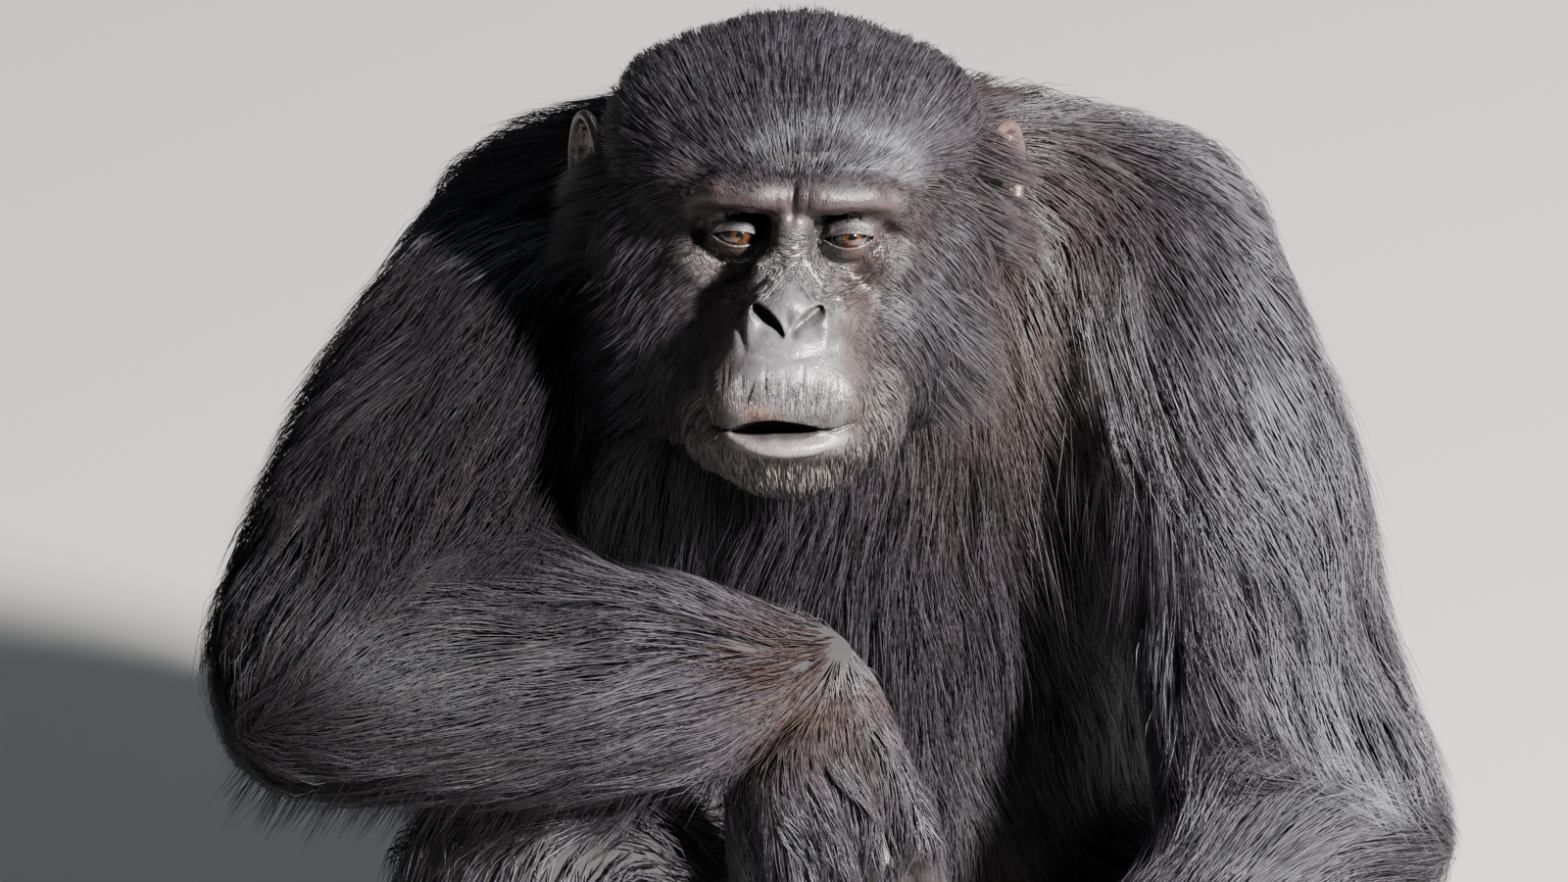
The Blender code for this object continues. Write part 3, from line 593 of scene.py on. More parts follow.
HIPS = {"r": at(-0.027, 0.022, 0.118), "l": at(0.123, 0.022, 0.118)}
KNEES = {
    "r": reach(HIPS["r"], (-0.104, -0.226, 0.166), THIGH),
    "l": reach(HIPS["l"], (0.175, -0.215, 0.060), THIGH),
}
ANKLES = {
    "r": reach(KNEES["r"], (0.000, -0.070, -0.232), SHIN),
    "l": reach(KNEES["l"], (-0.124, -0.170, -0.128), SHIN),
}
FOOT_HEADING = {"r": math.radians(-12), "l": math.radians(14)}
FOOT_LENGTH = 0.220
SOLE_LINE = 0.024
ANKLE_HEIGHT = 0.056
FOOT_VOXEL = 0.0029
FLOOR_GAP = 0.0003
TOE_LENGTH = 0.052
TOES = (
    # place across the ball of the foot, share of the longest toe, radius
    (-0.0090, 0.98, 0.0114),
    (0.0100, 1.00, 0.0111),
    (0.0275, 0.92, 0.0104),
    (0.0430, 0.80, 0.0096),
)

feet, foot_seats = [], {}
for name, side in SIDE_OF.items():
    big_toe_side = -side
    heading = FOOT_HEADING[name]
    sole = Vector((ANKLES[name].x, ANKLES[name].y, SOLE_LINE))
    seat = foot_seats[name] = limb_seat(sole, (math.sin(heading), -math.cos(heading), 0), (0, 0, 1))
    foot_bm = bmesh.new()
    add_ball(foot_bm, (0, -0.024, 0.001), (0.029, 0.034, 0.029), seat)
    add_taper(foot_bm, (0, 0.000, ANKLE_HEIGHT - SOLE_LINE), 0.034, (0, 0.006, 0.006), 0.031, seat)
    towards_knee = tuple((seat.inverted() @ KNEES[name]).normalized() * 0.085)
    add_taper(foot_bm, (0, 0.000, ANKLE_HEIGHT - SOLE_LINE), 0.032, towards_knee, 0.030, seat)
    add_taper(foot_bm, (0, 0.000, 0.014), 0.034, (0, 0.052, 0.006), 0.029, seat)
    for across, share, radius in TOES:
        place_x = across * -big_toe_side
        ball_of_foot = Vector((place_x, FOOT_LENGTH * 0.48 + 0.010 * share, -0.0095))
        add_taper(foot_bm, (place_x * 0.40, 0.030, 0.003), 0.026, ball_of_foot, radius * 1.30, seat)
        spread = math.radians(5) * place_x / 0.03
        add_finger(foot_bm, seat, ball_of_foot, spread, TOE_LENGTH * share, radius, (0, 14, 12))
    root = (big_toe_side * 0.012, 0.024, 0.000)
    knuckle = (big_toe_side * 0.044, 0.074, -0.0075)
    add_taper(foot_bm, root, 0.023, knuckle, 0.0168, seat)
    add_finger(foot_bm, seat, knuckle, math.radians(big_toe_side * 26), 0.052, 0.0142, (0, 6, 8))
    foot = melted(mesh_of(foot_bm, "foot_masses"), FOOT_VOXEL, 2)
    foot_points = points_of(foot)
    foot_points[:, 2] = np.maximum(foot_points[:, 2], FLOOR_GAP)
    set_points(foot, foot_points)
    feet.append(foot)

# ---------------------------------------------------------------- The whole skin
# Head, ears, hands and feet grow out of the body in one closed hide without a seam. Each reaches a little way
# into the flesh that bears it, and what lies inside is cut away.

skin_object = placed("skin", hide)
extremities = bpy.data.collections.new("extremities")
bpy.context.scene.collection.children.link(extremities)
for mesh in (face, *ears, *hands, *feet):
    extremities.objects.link(bpy.data.objects.new(mesh.name, mesh))
join = skin_object.modifiers.new("join", "BOOLEAN")
join.operation = "UNION"
join.solver = "EXACT"
join.operand_type = "COLLECTION"
join.collection = extremities
joined = bpy.data.meshes.new_from_object(skin_object.evaluated_get(bpy.context.evaluated_depsgraph_get()))
for thing in [skin_object, *extremities.objects]:
    bpy.data.objects.remove(thing)
bpy.data.collections.remove(extremities)

# ---------------------------------------------------------------- The bare face
# From the brow ridge down to the lower lip the skin is naked, folded leather: lids, bags under the eyes, a
# flat nose with slit nostrils and a long upper lip. All of it is pressed into the hide in the head's own
# axes.

FACE_HALF_WIDTH = 0.060
FACE_TOP = 0.040
FACE_BOTTOM = -0.106
FACE_BACK = 0.042


def in_face_box(point):
    """Whether a point of the head lies in the block that the bare face takes up."""
    return abs(point.x) < FACE_HALF_WIDTH and FACE_BOTTOM < point.z < FACE_TOP and point.y < FACE_BACK


joined.transform(HEAD.inverted())
face_bm = bmesh.new()
face_bm.from_mesh(joined)
face_bm.normal_update()
fine_faces = [f for f in face_bm.faces if in_face_box(f.calc_center_median()) and f.normal.y < 0.25]
fine_edges = list({edge for f in fine_faces for edge in f.edges})
bmesh.ops.subdivide_edges(face_bm, edges=fine_edges, cuts=2, use_grid_fill=True)
fine_points = [v for v in face_bm.verts if in_face_box(v.co)]
for _ in range(4):
    bmesh.ops.smooth_vert(
        face_bm, verts=fine_points, factor=0.5, use_axis_x=True, use_axis_y=True, use_axis_z=True
    )
bmesh.ops.triangulate(face_bm, faces=[f for f in face_bm.faces if len(f.verts) > 4])
face_bm.to_mesh(joined)
face_bm.free()


def beside_line(points, line):
    """How far each point, seen from the front, lies from a line, and at what share of the line."""
    line = np.array(line, float)
    lengths = np.linalg.norm(np.diff(line, axis=0), axis=1)
    starts = np.concatenate([[0], np.cumsum(lengths)]) / lengths.sum()
    nearest = np.full(len(points), 9.0)
    along = np.zeros(len(points))
    for index, (a, b) in enumerate(zip(line, line[1:])):
        share = np.clip((points - a) @ (b - a) / ((b - a) @ (b - a)), 0, 1)
        gap = np.linalg.norm(points - a - share[:, None] * (b - a), axis=1)
        closer = gap < nearest
        nearest[closer] = gap[closer]
        here = starts[index] + share * (starts[index + 1] - starts[index])
        along[closer] = here[closer]
    return nearest, along


def fading(gap, reach):
    """1 where the gap is nought, fading out over the reach."""
    return np.exp(-((gap / reach) ** 2))


face_points = points_of(joined)
face_normals = normals_of(joined)
in_front = eased(0.15, -0.25, face_normals[:, 1])


def press(line, width, depth, fade=0.5):
    """Presses a groove along a line on the face, or raises a ridge where depth is negative."""
    gap, along = beside_line(face_points[:, [0, 2]], line)
    taper = np.clip(np.sin(np.pi * np.clip(along, 0.03, 0.97)), 0, 1) ** fade
    cut = depth * fading(gap, width) * taper * in_front
    face_points[:] -= face_normals * cut[:, None]


def swell(centre, radii, height):
    """Raises a soft mound on the face, or sinks a hollow where height is negative."""
    off = (face_points[:, [0, 2]] - np.array(centre)) / np.array(radii)
    lift = height * np.exp(-(off**2).sum(1)) * in_front
    face_points[:] += face_normals * lift[:, None]


# Brow ridge: a notch in the middle, a furrow above it, and fine upright folds beside the notch.
press([(0.0005, 0.038), (0.000, 0.011)], 0.0020, 0.0028)
furrow = [(-0.050, 0.0295), (-0.030, 0.0345), (0.000, 0.0340), (0.030, 0.0345), (0.050, 0.0295)]
press(furrow, 0.0038, 0.0024)
for fold, height in ((-0.0085, 0.007), (0.0090, 0.008), (0.0165, 0.005)):
    press([(fold, 0.022 + height), (fold * 0.8, 0.021 - height)], 0.0010, 0.0006)
swell((-0.022, 0.0225), (0.016, 0.006), 0.0016)
swell((0.024, 0.0225), (0.018, 0.006), 0.0020)

# Sockets, drawn in between the ridge and the cheekbones.
for side in (-1, 1):
    swell((side * 0.0290, 0.0118), (0.019, 0.0042), -0.0034)
    swell((side * 0.0130, 0.004), (0.0040, 0.006), -0.0018)
    swell((side * 0.0450, 0.0040), (0.0060, 0.0070), -0.0012)

# Bridge of the nose: cross folds between the eyes.
for level, width, depth in (
    (0.0035, 0.010, 0.0008), (-0.0005, 0.012, 0.0010), (-0.0042, 0.012, 0.0009), (-0.0078, 0.011, 0.0007),
):  # fmt: skip
    sags = ((-1, 0), (-0.5, 0.0012), (0, -0.0004), (0.5, 0.0012), (1, 0))
    press([(width * share, level + sag) for share, sag in sags], 0.0009, depth)

# Nose: a low dome with soft wings, a hood of two folds round it and a shallow groove down its tip.
WING_FOLD = [
    (0.0055, -0.0070), (0.0125, -0.0120), (0.0175, -0.0185),
    (0.0222, -0.0273), (0.0232, -0.0343), (0.0212, -0.0440),
]  # fmt: skip
HOOD_FOLD = [(0.0120, -0.0060), (0.0200, -0.0135), (0.0265, -0.0235), (0.0300, -0.0345)]
for side in (-1, 1):
    press([(side * x, z) for x, z in WING_FOLD], 0.0022, 0.0030)
    press([(side * x, z) for x, z in HOOD_FOLD], 0.0011, 0.0006)
    swell((side * 0.0150, -0.0225), (0.0062, 0.0045), 0.0030)
    swell((side * 0.0180, -0.0320), (0.0040, 0.0070), 0.0026)
    swell((side * 0.0095, -0.0400), (0.0065, 0.0028), 0.0016)
swell((0, -0.0215), (0.0100, 0.0070), 0.0028)
press([(0, -0.0230), (0, -0.0330)], 0.0022, 0.0012)
press([(-0.0165, -0.0452), (-0.0060, -0.0465), (0.0040, -0.0462), (0.0150, -0.0450)], 0.0014, 0.0010)

# Bags and folds under the eyes, each a nest of arcs.
for side in (-1, 1):
    for step in range(4):
        drop = 0.0090 + 0.0050 * step
        reach_out = 0.0180 + 0.0024 * step
        arc = [
            (side * (PUPIL_SPAN / 2 + reach_out * math.cos(angle)), -drop * math.sin(angle) - 0.0012 * step)
            for angle in np.linspace(0.12, math.pi - 0.45, 9)
        ]
        press(arc, 0.0011, 0.0007 - 0.0001 * step)
    press([(side * 0.0400, 0.0030), (side * 0.0480, -0.0040), (side * 0.0530, -0.0120)], 0.0012, 0.0006)

# Upper lip: upright creases from the nose to the edge, uneven in length, depth and lean.
for top_x, top, bottom_x, bottom, depth in (
    (-0.0307, -0.0520, -0.0312, -0.0660, 0.0005), (-0.0278, -0.0500, -0.0284, -0.0640, 0.0005),
    (-0.0206, -0.0530, -0.0216, -0.0700, 0.0006), (-0.0149, -0.0555, -0.0202, -0.0730, 0.0010),
    (-0.0096, -0.0495, -0.0098, -0.0655, 0.0012), (-0.0038, -0.0545, -0.0046, -0.0670, 0.0008),
    (0.0005, -0.0520, 0.0006, -0.0700, 0.0007), (0.0038, -0.0600, 0.0056, -0.0740, 0.0009),
    (0.0086, -0.0472, 0.0084, -0.0660, 0.0011), (0.0154, -0.0505, 0.0152, -0.0735, 0.0008),
    (0.0205, -0.0540, 0.0212, -0.0690, 0.0005), (0.0262, -0.0530, 0.0268, -0.0660, 0.0004),
):  # fmt: skip
    press([(top_x, top), (bottom_x, bottom)], 0.0009, depth * 1.1, fade=0.9)

# All of it is evened out a little, as skin drapes over what lies under it.
soft_points = averaged(face_points, edges_of(joined), 1)
in_face = in_front * (np.abs(face_points[:, 0]) < FACE_HALF_WIDTH) * (face_points[:, 1] < FACE_BACK)
face_points += (soft_points - face_points) * (0.45 * in_face)[:, None]


def pointed_oval(centre, half_width, half_height, lean):
    """For each point, 1 on the rim of a pointed oval on the face, less inside and more outside it, and its
    height above the rim's own."""
    across = (face_points[:, 0] - centre[0]) / half_width
    rise = face_points[:, 2] - centre[1] - lean * (face_points[:, 0] - centre[0])
    rim = half_height * np.maximum(1 - np.clip(np.abs(across), 0, 1) ** 2, 1e-4) ** 0.75
    return np.maximum(np.abs(rise) / rim, np.abs(across)), np.sign(rise) * (np.abs(rise) - rim)


# Lids: they follow the ball of the eye, with a rim that stands up a little, and sink behind it in the
# opening.
LID_OPENING = (0.0122, 0.0037)
LID_THICKNESS = 0.0013
for side in (-1, 1):
    eye_x = side * PUPIL_SPAN / 2
    ring, over_rim = pointed_oval((eye_x, -0.0004), *LID_OPENING, lean=side * 0.05)
    near = (in_front > 0.2) & (face_points[:, 1] < 0.025) & (np.abs(face_points[:, 0] - eye_x) < 0.03)
    snapped = near & (np.abs(over_rim) < 0.00042) & (np.abs(face_points[:, 0] - eye_x) < 0.0112)
    face_points[snapped, 2] -= over_rim[snapped]
    ring[snapped] = 1.0
    flat = face_points[:, [0, 2]]
    off = (flat - np.array([eye_x, 0])) / (EYE_RADIUS + LID_THICKNESS)
    inside_ball = np.clip(1 - (off**2).sum(1), 0, 1)
    lid = EYE_DEPTH - (EYE_RADIUS + LID_THICKNESS) * np.sqrt(inside_ball)
    on_lid = near & (inside_ball > 0)
    face_points[on_lid, 1] = np.minimum(face_points[on_lid, 1], lid[on_lid])
    rim = fading(ring - 1.12, 0.14) * near
    crease = fading(ring - 1.85, 0.22) * near * (flat[:, 1] > 0)
    face_points[:, 1] += 0.0009 * crease - 0.0007 * rim
    sunk = near & (ring < 0.99)
    face_points[sunk, 1] = EYE_DEPTH + 0.004

# Mouth: the lips part in the middle over a gap painted dark as shade and meet towards the corners; the lower
# lip is a pale crescent.
MOUTH_LINE = [
    (-0.0345, -0.0850), (-0.0250, -0.0848), (-0.0050, -0.0812),
    (0.0120, -0.0824), (0.0250, -0.0822), (0.0350, -0.0790),
]  # fmt: skip
LOWER_LIP = [(-0.0270, -0.0890), (-0.0120, -0.0915), (0.0010, -0.0922), (0.0150, -0.0905), (0.0280, -0.0872)]
gap = beside_line(face_points[:, [0, 2]], MOUTH_LINE)[0]
parted = np.clip(1 - ((face_points[:, 0] + 0.0055) / 0.0215) ** 2, 0, 1) ** 0.8
half_gap = 0.0004 + 0.0040 * parted
sunk = (1 - eased(half_gap * 0.7, half_gap + 0.0012, gap)) * in_front * (np.abs(face_points[:, 0]) < 0.0355)
swell((0, -0.0738), (0.030, 0.0034), 0.0008)
lip_gap, lip_along = beside_line(face_points[:, [0, 2]], LOWER_LIP)
lip_body = fading(lip_gap, 0.0036) * np.sin(np.pi * np.clip(lip_along, 0.04, 0.96)) ** 0.5 * in_front
face_points[:] += face_normals * (0.0013 * lip_body)[:, None]
under_lip = [(-0.030, -0.0920), (-0.015, -0.0972), (-0.001, -0.0990), (0.0144, -0.0970), (0.0300, -0.0900)]
press(under_lip, 0.0028, 0.0022)
face_points[:] += np.array([0, 1, 0]) * ((0.003 + 0.014 * parted) * sunk)[:, None]
mouth_shade = sunk * (0.35 + 0.65 * parted)

# Nostrils: deep slits that run in and down towards the septum, painted dark inside as shade; the right one is
# painted darker than the left, which the light reaches.
NOSTRIL_LINE = [(0.0148, -0.0272), (0.0112, -0.0292), (0.0066, -0.0332), (0.0032, -0.0372)]
nostril_shade = np.zeros(len(face_points))
for side in (-1, 1):
    gap, along = beside_line(face_points[:, [0, 2]], [(side * x, z) for x, z in NOSTRIL_LINE])
    half_slit = 0.0008 + 0.0024 * np.sin(np.pi * np.clip(0.30 + 0.66 * along, 0, 1))
    sunk = (1 - eased(half_slit * 0.2, half_slit + 0.0012, gap)) * in_front
    rim = fading(gap - half_slit - 0.0018, 0.0016) * in_front
    face_points[:] -= np.array([0, 1, 0]) * (0.0006 * rim)[:, None]
    face_points[:] += np.array([0, 1, 0.15]) * ((0.0085 if side < 0 else 0.0060) * sunk)[:, None]
    nostril_shade = np.maximum(nostril_shade, sunk * (1.0 if side < 0 else 0.65))

set_points(joined, face_points)
hole = joined.attributes.new("hole", "FLOAT", "POINT")
hole.data.foreach_set("value", np.maximum(mouth_shade, nostril_shade).astype(np.float32))
joined.transform(HEAD)

SKIN_TRIANGLES = 190000
triangles = sum(len(p.vertices) - 2 for p in joined.polygons)
skin = evaluated(
    joined,
    ("TRIANGULATE", {}),
    ("DECIMATE", {"ratio": min(1.0, SKIN_TRIANGLES / triangles)}),
)

# ---------------------------------------------------------------- Where the coat grows, and its colours
# The bare leather of face, ears, fingers and soles runs out into short thin hair and then into the full coat.
# The hide is tinted as the hair over it: black, with brown in places and white on the chin. Round the eyes,
# in the mouth and in the nostrils the leather is painted dark as shade.

HIDE_COLOUR = np.array((0.009, 0.007, 0.008))
FACE_COLOUR = np.array((0.044, 0.038, 0.041))
MUZZLE_COLOUR = np.array((0.086, 0.079, 0.086))
BROW_COLOUR = np.array((0.020, 0.011, 0.013))
CHEEK_COLOUR = np.array((0.030, 0.018, 0.016))
SOCKET_SHADE_COLOUR = np.array((0.010, 0.007, 0.008))
LIP_COLOUR = np.array((0.150, 0.128, 0.128))
PATCH_COLOUR = np.array((0.240, 0.130, 0.085))
PALM_COLOUR = np.array((0.024, 0.019, 0.020))
EAR_COLOUR = np.array((0.060, 0.034, 0.030))
BELLY_COLOUR = np.array((0.034, 0.027, 0.027))
GLOSSY_HIGHLIGHT_SPOT = ((0.0090, 0.0480), (0.012, 0.011))  # where the forehead's hair is thin and its leather glossy and painted paler: a painted highlight
SOCKET_SHADE_SPOT = ((0.0285, 0.0070), (0.0205, 0.0078))
FACE_OUTLINE = (
    # height on the face, half the width of the bare skin there
    (-0.100, 0.010), (-0.092, 0.023), (-0.082, 0.033), (-0.065, 0.031), (-0.045, 0.032), (-0.030, 0.035),
    (-0.012, 0.043), (0.006, 0.050), (0.020, 0.050), (0.030, 0.044),
)  # fmt: skip


def noise_at(places):
    """A smooth noise at each of the places."""
    return np.array([noise.noise(place) for place in places.tolist()])


skin_points = points_of(skin)
skin_normals = normals_of(skin)
skin_edges = edges_of(skin)
skin_owner = np.array([part_of(name) for name in cad_nodes])[owners(skin_points)]
head_points = in_axes(HEAD, skin_points)
x, y, z = head_points.T
on_head = np.isin(skin_owner, ("head", "lower_jaw")) | (
    (np.abs(x) < 0.09) & (y < 0.05) & (z > -0.125) & (skin_owner != "forearm") & (skin_owner != "hand")
)
outline_heights, outline_widths = np.array(FACE_OUTLINE).T
half_face = np.interp(z, outline_heights, outline_widths)
below_lip = 0.008 * (x / 0.030) ** 2 - 0.0945 - z
beyond_face = np.maximum.reduce([np.abs(x) - half_face, z - 0.0262, below_lip, y - 0.040])
patchy = noise_at(head_points * 95) + 0.6 * noise_at(head_points * 230)
beyond_face += 0.0045 * patchy * (np.abs(x) > 0.015)
beyond_face = np.where(on_head, beyond_face, 0.2)
beyond_face = averaged(beyond_face, skin_edges, 4)

soft_edge = np.where(z > 0.0, 0.008, 0.018)
bare = 1 - eased(-0.006, soft_edge, beyond_face)
ear_bare = np.zeros(len(skin_points))
for side in (-1, 1):
    ear_x, ear_y, ear_z = in_axes(ear_seat(side), skin_points).T
    on_ear = (ear_y / (deep * 1.25)) ** 2 + (ear_z / (tall * 1.2)) ** 2 < 1
    ear_bare = np.maximum(ear_bare, on_ear & (np.abs(ear_x) < 0.012))
is_hand, is_foot = skin_owner == "hand", skin_owner == "foot"
hand_bare = np.zeros(len(skin_points))
for seat in hand_seats.values():
    hand_x, hand_y, hand_z = in_axes(seat, skin_points).T
    hand_normal = skin_normals @ np.array(seat.inverted())[2, :3]
    nearest_hand = is_hand & (np.abs(hand_x) < 0.08) & (np.abs(hand_z) < 0.12)
    nearest_hand &= (hand_y > -0.02) & (hand_y < 0.26)
    fingers = eased(0.075, 0.105, hand_y)
    palm = eased(0.15, -0.35, hand_normal) * eased(-0.005, 0.02, hand_y)
    hand_bare = np.maximum(hand_bare, np.maximum(fingers, palm) * nearest_hand)
foot_bare = np.zeros(len(skin_points))
for seat in foot_seats.values():
    toes = eased(0.080, 0.110, in_axes(seat, skin_points)[:, 1])
    low = 1 - eased(0.014, 0.022, skin_points[:, 2])
    foot_bare = np.maximum(foot_bare, np.maximum(toes, low) * is_foot)


def spot(centre, radii, back=0.05):
    """1 at a place on the front of the head, fading out round it."""
    across, up = (x - centre[0]) / radii[0], (z - centre[1]) / radii[1]
    return np.exp(-(across**2) - up**2) * on_head * (y < back)


bare = np.maximum.reduce([bare, 0.6 * spot(*GLOSSY_HIGHLIGHT_SPOT, back=0.07), ear_bare, hand_bare, foot_bare])
bare = averaged(bare, skin_edges, 2)


def blend(colours, other, share):
    """Colours drawn towards another one by a share for each point."""
    return colours + (np.array(other) - colours) * np.clip(share, 0, 1)[:, None]


def within(points, middle, radii):
    """1 at a middle in the body, fading out round it over three radii."""
    return np.exp(-(((points - np.array(middle)) / radii) ** 2).sum(1))


on_belly = within(skin_points, at(0.120, -0.085, 0.250), (0.075, 0.090, 0.090))
on_belly *= np.isin(skin_owner, ("chest", "abdomen"))

skin_colours = blend(np.tile(HIDE_COLOUR, (len(skin_points), 1)), BELLY_COLOUR, on_belly)
leather = np.tile(FACE_COLOUR, (len(skin_points), 1))
cheek_edge = np.abs(x) + 0.10 * np.clip(z + 0.06, -0.03, 0.03) + 0.003 * patchy
# Round the eyes, under the brow, the leather is painted near black: painted shade of the brow.
(socket_x, socket_z), socket_radii = SOCKET_SHADE_SPOT
socket_shade = spot((-socket_x, socket_z), socket_radii) + spot((socket_x, socket_z), socket_radii)
lip_gap = beside_line(head_points[:, [0, 2]], LOWER_LIP)[0]
for colour, share in (
    (CHEEK_COLOUR, eased(0.021, 0.033, cheek_edge) * (z < 0.02)),
    (CHEEK_COLOUR, eased(-0.094, -0.099, z + 0.008 * (x / 0.030) ** 2)),
    (MUZZLE_COLOUR, spot((0, -0.050), (0.025, 0.032))),
    (BROW_COLOUR, spot((0, 0.022), (0.090, 0.013)) + eased(0.022, 0.030, z)),
    # the paler leather on the forehead's glossy spot is a painted highlight
    (FACE_COLOUR, spot(*GLOSSY_HIGHLIGHT_SPOT)),
    # the sockets' near black is painted shade of the brow
    (SOCKET_SHADE_COLOUR, socket_shade),
    (LIP_COLOUR, 0.9 * fading(lip_gap, 0.0034) * on_head * (y < 0.0)),
    (PATCH_COLOUR, 0.60 * spot((-0.0120, -0.0728), (0.0085, 0.0045))),
    (PATCH_COLOUR, 0.25 * spot((-0.040, 0.030), (0.007, 0.004))),
    (EAR_COLOUR, ear_bare),
    (PALM_COLOUR, (is_hand | is_foot).astype(float)),
):
    leather = blend(leather, colour, share)
skin_colours += (leather - skin_colours) * bare[:, None]


def give(mesh, name, values):
    """Stores a number, or a colour, for every point of a mesh."""
    values = np.asarray(values, np.float32)
    if values.ndim == 1:
        mesh.attributes.new(name, "FLOAT", "POINT").data.foreach_set("value", values)
    else:
        rows = np.concatenate([values, np.ones((len(values), 1), np.float32)], 1)
        mesh.attributes.new(name, "FLOAT_COLOR", "POINT").data.foreach_set("color", rows.ravel())


# Fine folds: which way they run at each point of the face, and how deep they are.
FOLDS_ACROSS = 780  # noise cells a metre, against the way of the folds and with it
FOLDS_ALONG = 95
fold_depth = np.zeros(len(skin_points))
fold_way = np.zeros((len(skin_points), 3))
off_middle = np.abs(x)
across_cheek = off_middle - 0.4 * z
eye_off = np.hypot(off_middle - PUPIL_SPAN / 2, z + 0.001)
eye_turn = np.arctan2(z + 0.001, off_middle - PUPIL_SPAN / 2)
above_lip = np.clip(z + 0.066 + 0.006 * patchy, 0, 1)
below_lip = np.clip(-0.066 - z, 0, 1)
for depth_here, across_folds, along_folds in (
    # lip, bridge of the nose, bags under the eyes, brow, cheek
    (np.exp(-((x / 0.030) ** 4) - (above_lip / 0.0125) ** 2 - (below_lip / 0.012) ** 4), x, z),
    (np.exp(-((x / 0.014) ** 4) - ((z + 0.003) / 0.011) ** 4), z, x),
    (np.exp(-(((eye_off - 0.0195) / 0.0105) ** 4)) * eased(0.006, -0.004, z), eye_off, 0.02 * eye_turn),
    (0.35 * np.exp(-(((off_middle - 0.010) / 0.012) ** 4) - ((z - 0.022) / 0.007) ** 4), x, z),
    (0.5 * np.exp(-(((off_middle - 0.034) / 0.009) ** 4) - ((z + 0.036) / 0.018) ** 4), across_cheek, z),
):
    depth_here = depth_here * on_head * (y < 0.04)
    deeper = depth_here > fold_depth
    fold_depth[deeper] = depth_here[deeper]
    folds = np.stack([across_folds * FOLDS_ACROSS, along_folds * FOLDS_ALONG, np.zeros(len(x))], 1)
    fold_way[deeper] = folds[deeper]

give(skin, "tint", skin_colours)
give(skin, "bare", bare * (1 - 0.4 * np.clip(socket_shade, 0, 1)))
give(skin, "fold_depth", np.clip(fold_depth * 1.3 - 0.3, 0, 1))
fold_ways = skin.attributes.new("fold_way", "FLOAT_VECTOR", "POINT")
fold_ways.data.foreach_set("vector", fold_way.astype(np.float32).ravel())

# ---------------------------------------------------------------- Finish of the skin
# Leathery hide: fine pebbled grain and creases that catch the light on the face, dull and dark under the
# coat. Creases, the mouth's gap and the nostrils are painted dark as shade.

HOLE_SHADE_COLOUR = (0.006, 0.003, 0.003, 1)
NOISE_RANGE = {"From_Min": 0.3, "From_Max": 0.7}


def node(finish, kind, out, *inputs, **settings):
    """The output called out of a new node of a finish, with the node's properties and inputs set."""
    made = finish.node_tree.nodes.new("ShaderNode" + kind)
    feed(made, *inputs, **settings)
    return made.outputs[out]


def noted(finish, attribute, out="Fac"):
    """What the mesh holds for each of its points under the attribute's name."""
    return node(finish, "Attribute", out, attribute_name=attribute)


hide_finish, shader = new_finish("leathery_skin", Specular_IOR_Level=0.6)
place_of = node(hide_finish, "TexCoord", "Object")
mottle = node(hide_finish, "TexNoise", "Fac", place_of, Scale=140.0, Detail=4.0, Roughness=0.6)
mottling = node(hide_finish, "MapRange", "Result", mottle, **NOISE_RANGE, To_Min=0.72, To_Max=1.30)
tint = noted(hide_finish, "tint", "Color")
mottled = node(hide_finish, "VectorMath", "Vector", tint, operation="SCALE", Scale=mottling)
gloss = node(hide_finish, "MapRange", "Result", noted(hide_finish, "bare"), To_Min=0.85, To_Max=0.27)
uneven_gloss = node(hide_finish, "Math", "Value", mottle, 0.16, gloss, operation="MULTIPLY_ADD")
pebbles = node(hide_finish, "TexVoronoi", "Distance", place_of, Scale=820.0)
wrinkles = node(hide_finish, "TexNoise", "Fac", place_of, Scale=420.0, Detail=6.0, Roughness=0.65)
grain = node(hide_finish, "Math", "Value", pebbles, 0.55, wrinkles, operation="MULTIPLY_ADD")

# Thin creases stand where a noise drawn out along the folds passes its middle value.
fold_place = noted(hide_finish, "fold_way", "Vector")
fold_noise = node(hide_finish, "TexNoise", "Fac", fold_place, Scale=1.0, Detail=2.0, Roughness=0.5)
off_value = node(hide_finish, "Math", "Value", fold_noise, 0.5, operation="SUBTRACT")
off_value = node(hide_finish, "Math", "Value", off_value, operation="ABSOLUTE")
narrow = {"interpolation_type": "SMOOTHSTEP", "From_Max": 0.07}
crease = node(hide_finish, "MapRange", "Result", off_value, **narrow, To_Min=1.0, To_Max=0.0)
crease = node(hide_finish, "Math", "Value", crease, noted(hide_finish, "fold_depth"), operation="MULTIPLY")
bump = node(hide_finish, "Bump", "Normal", Strength=0.9, Distance=0.0011, invert=True, Height=crease)
bump = node(hide_finish, "Bump", "Normal", Strength=0.5, Distance=0.0006, Height=grain, Normal=bump)
# The leather is painted darker along the creases: painted shade.
crease_shade = node(hide_finish, "MapRange", "Result", crease, To_Min=1.0, To_Max=0.30)
creased = node(hide_finish, "VectorMath", "Vector", mottled, operation="SCALE", Scale=crease_shade)
# The mouth's gap and the nostrils are painted near black: painted shade.
hole_shade_share = noted(hide_finish, "hole")
darkened = node(hide_finish, "Mix", "Result", data_type="RGBA", Factor=hole_shade_share, A=creased, B=HOLE_SHADE_COLOUR)
feed(shader, Base_Color=darkened, Roughness=uneven_gloss, Normal=bump)

skin_object = placed("skin", skin)
skin.shade_smooth()
skin.materials.clear()
skin.materials.append(hide_finish)
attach(skin_object, "root")
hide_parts(*cad_nodes)

# ---------------------------------------------------------------- Eyes
# Dark balls with an amber-brown iris, a black pupil and a wet, bulging cornea, turned a little to the left.
# They lie loose in the sockets of the skin, held and half covered by the lids.

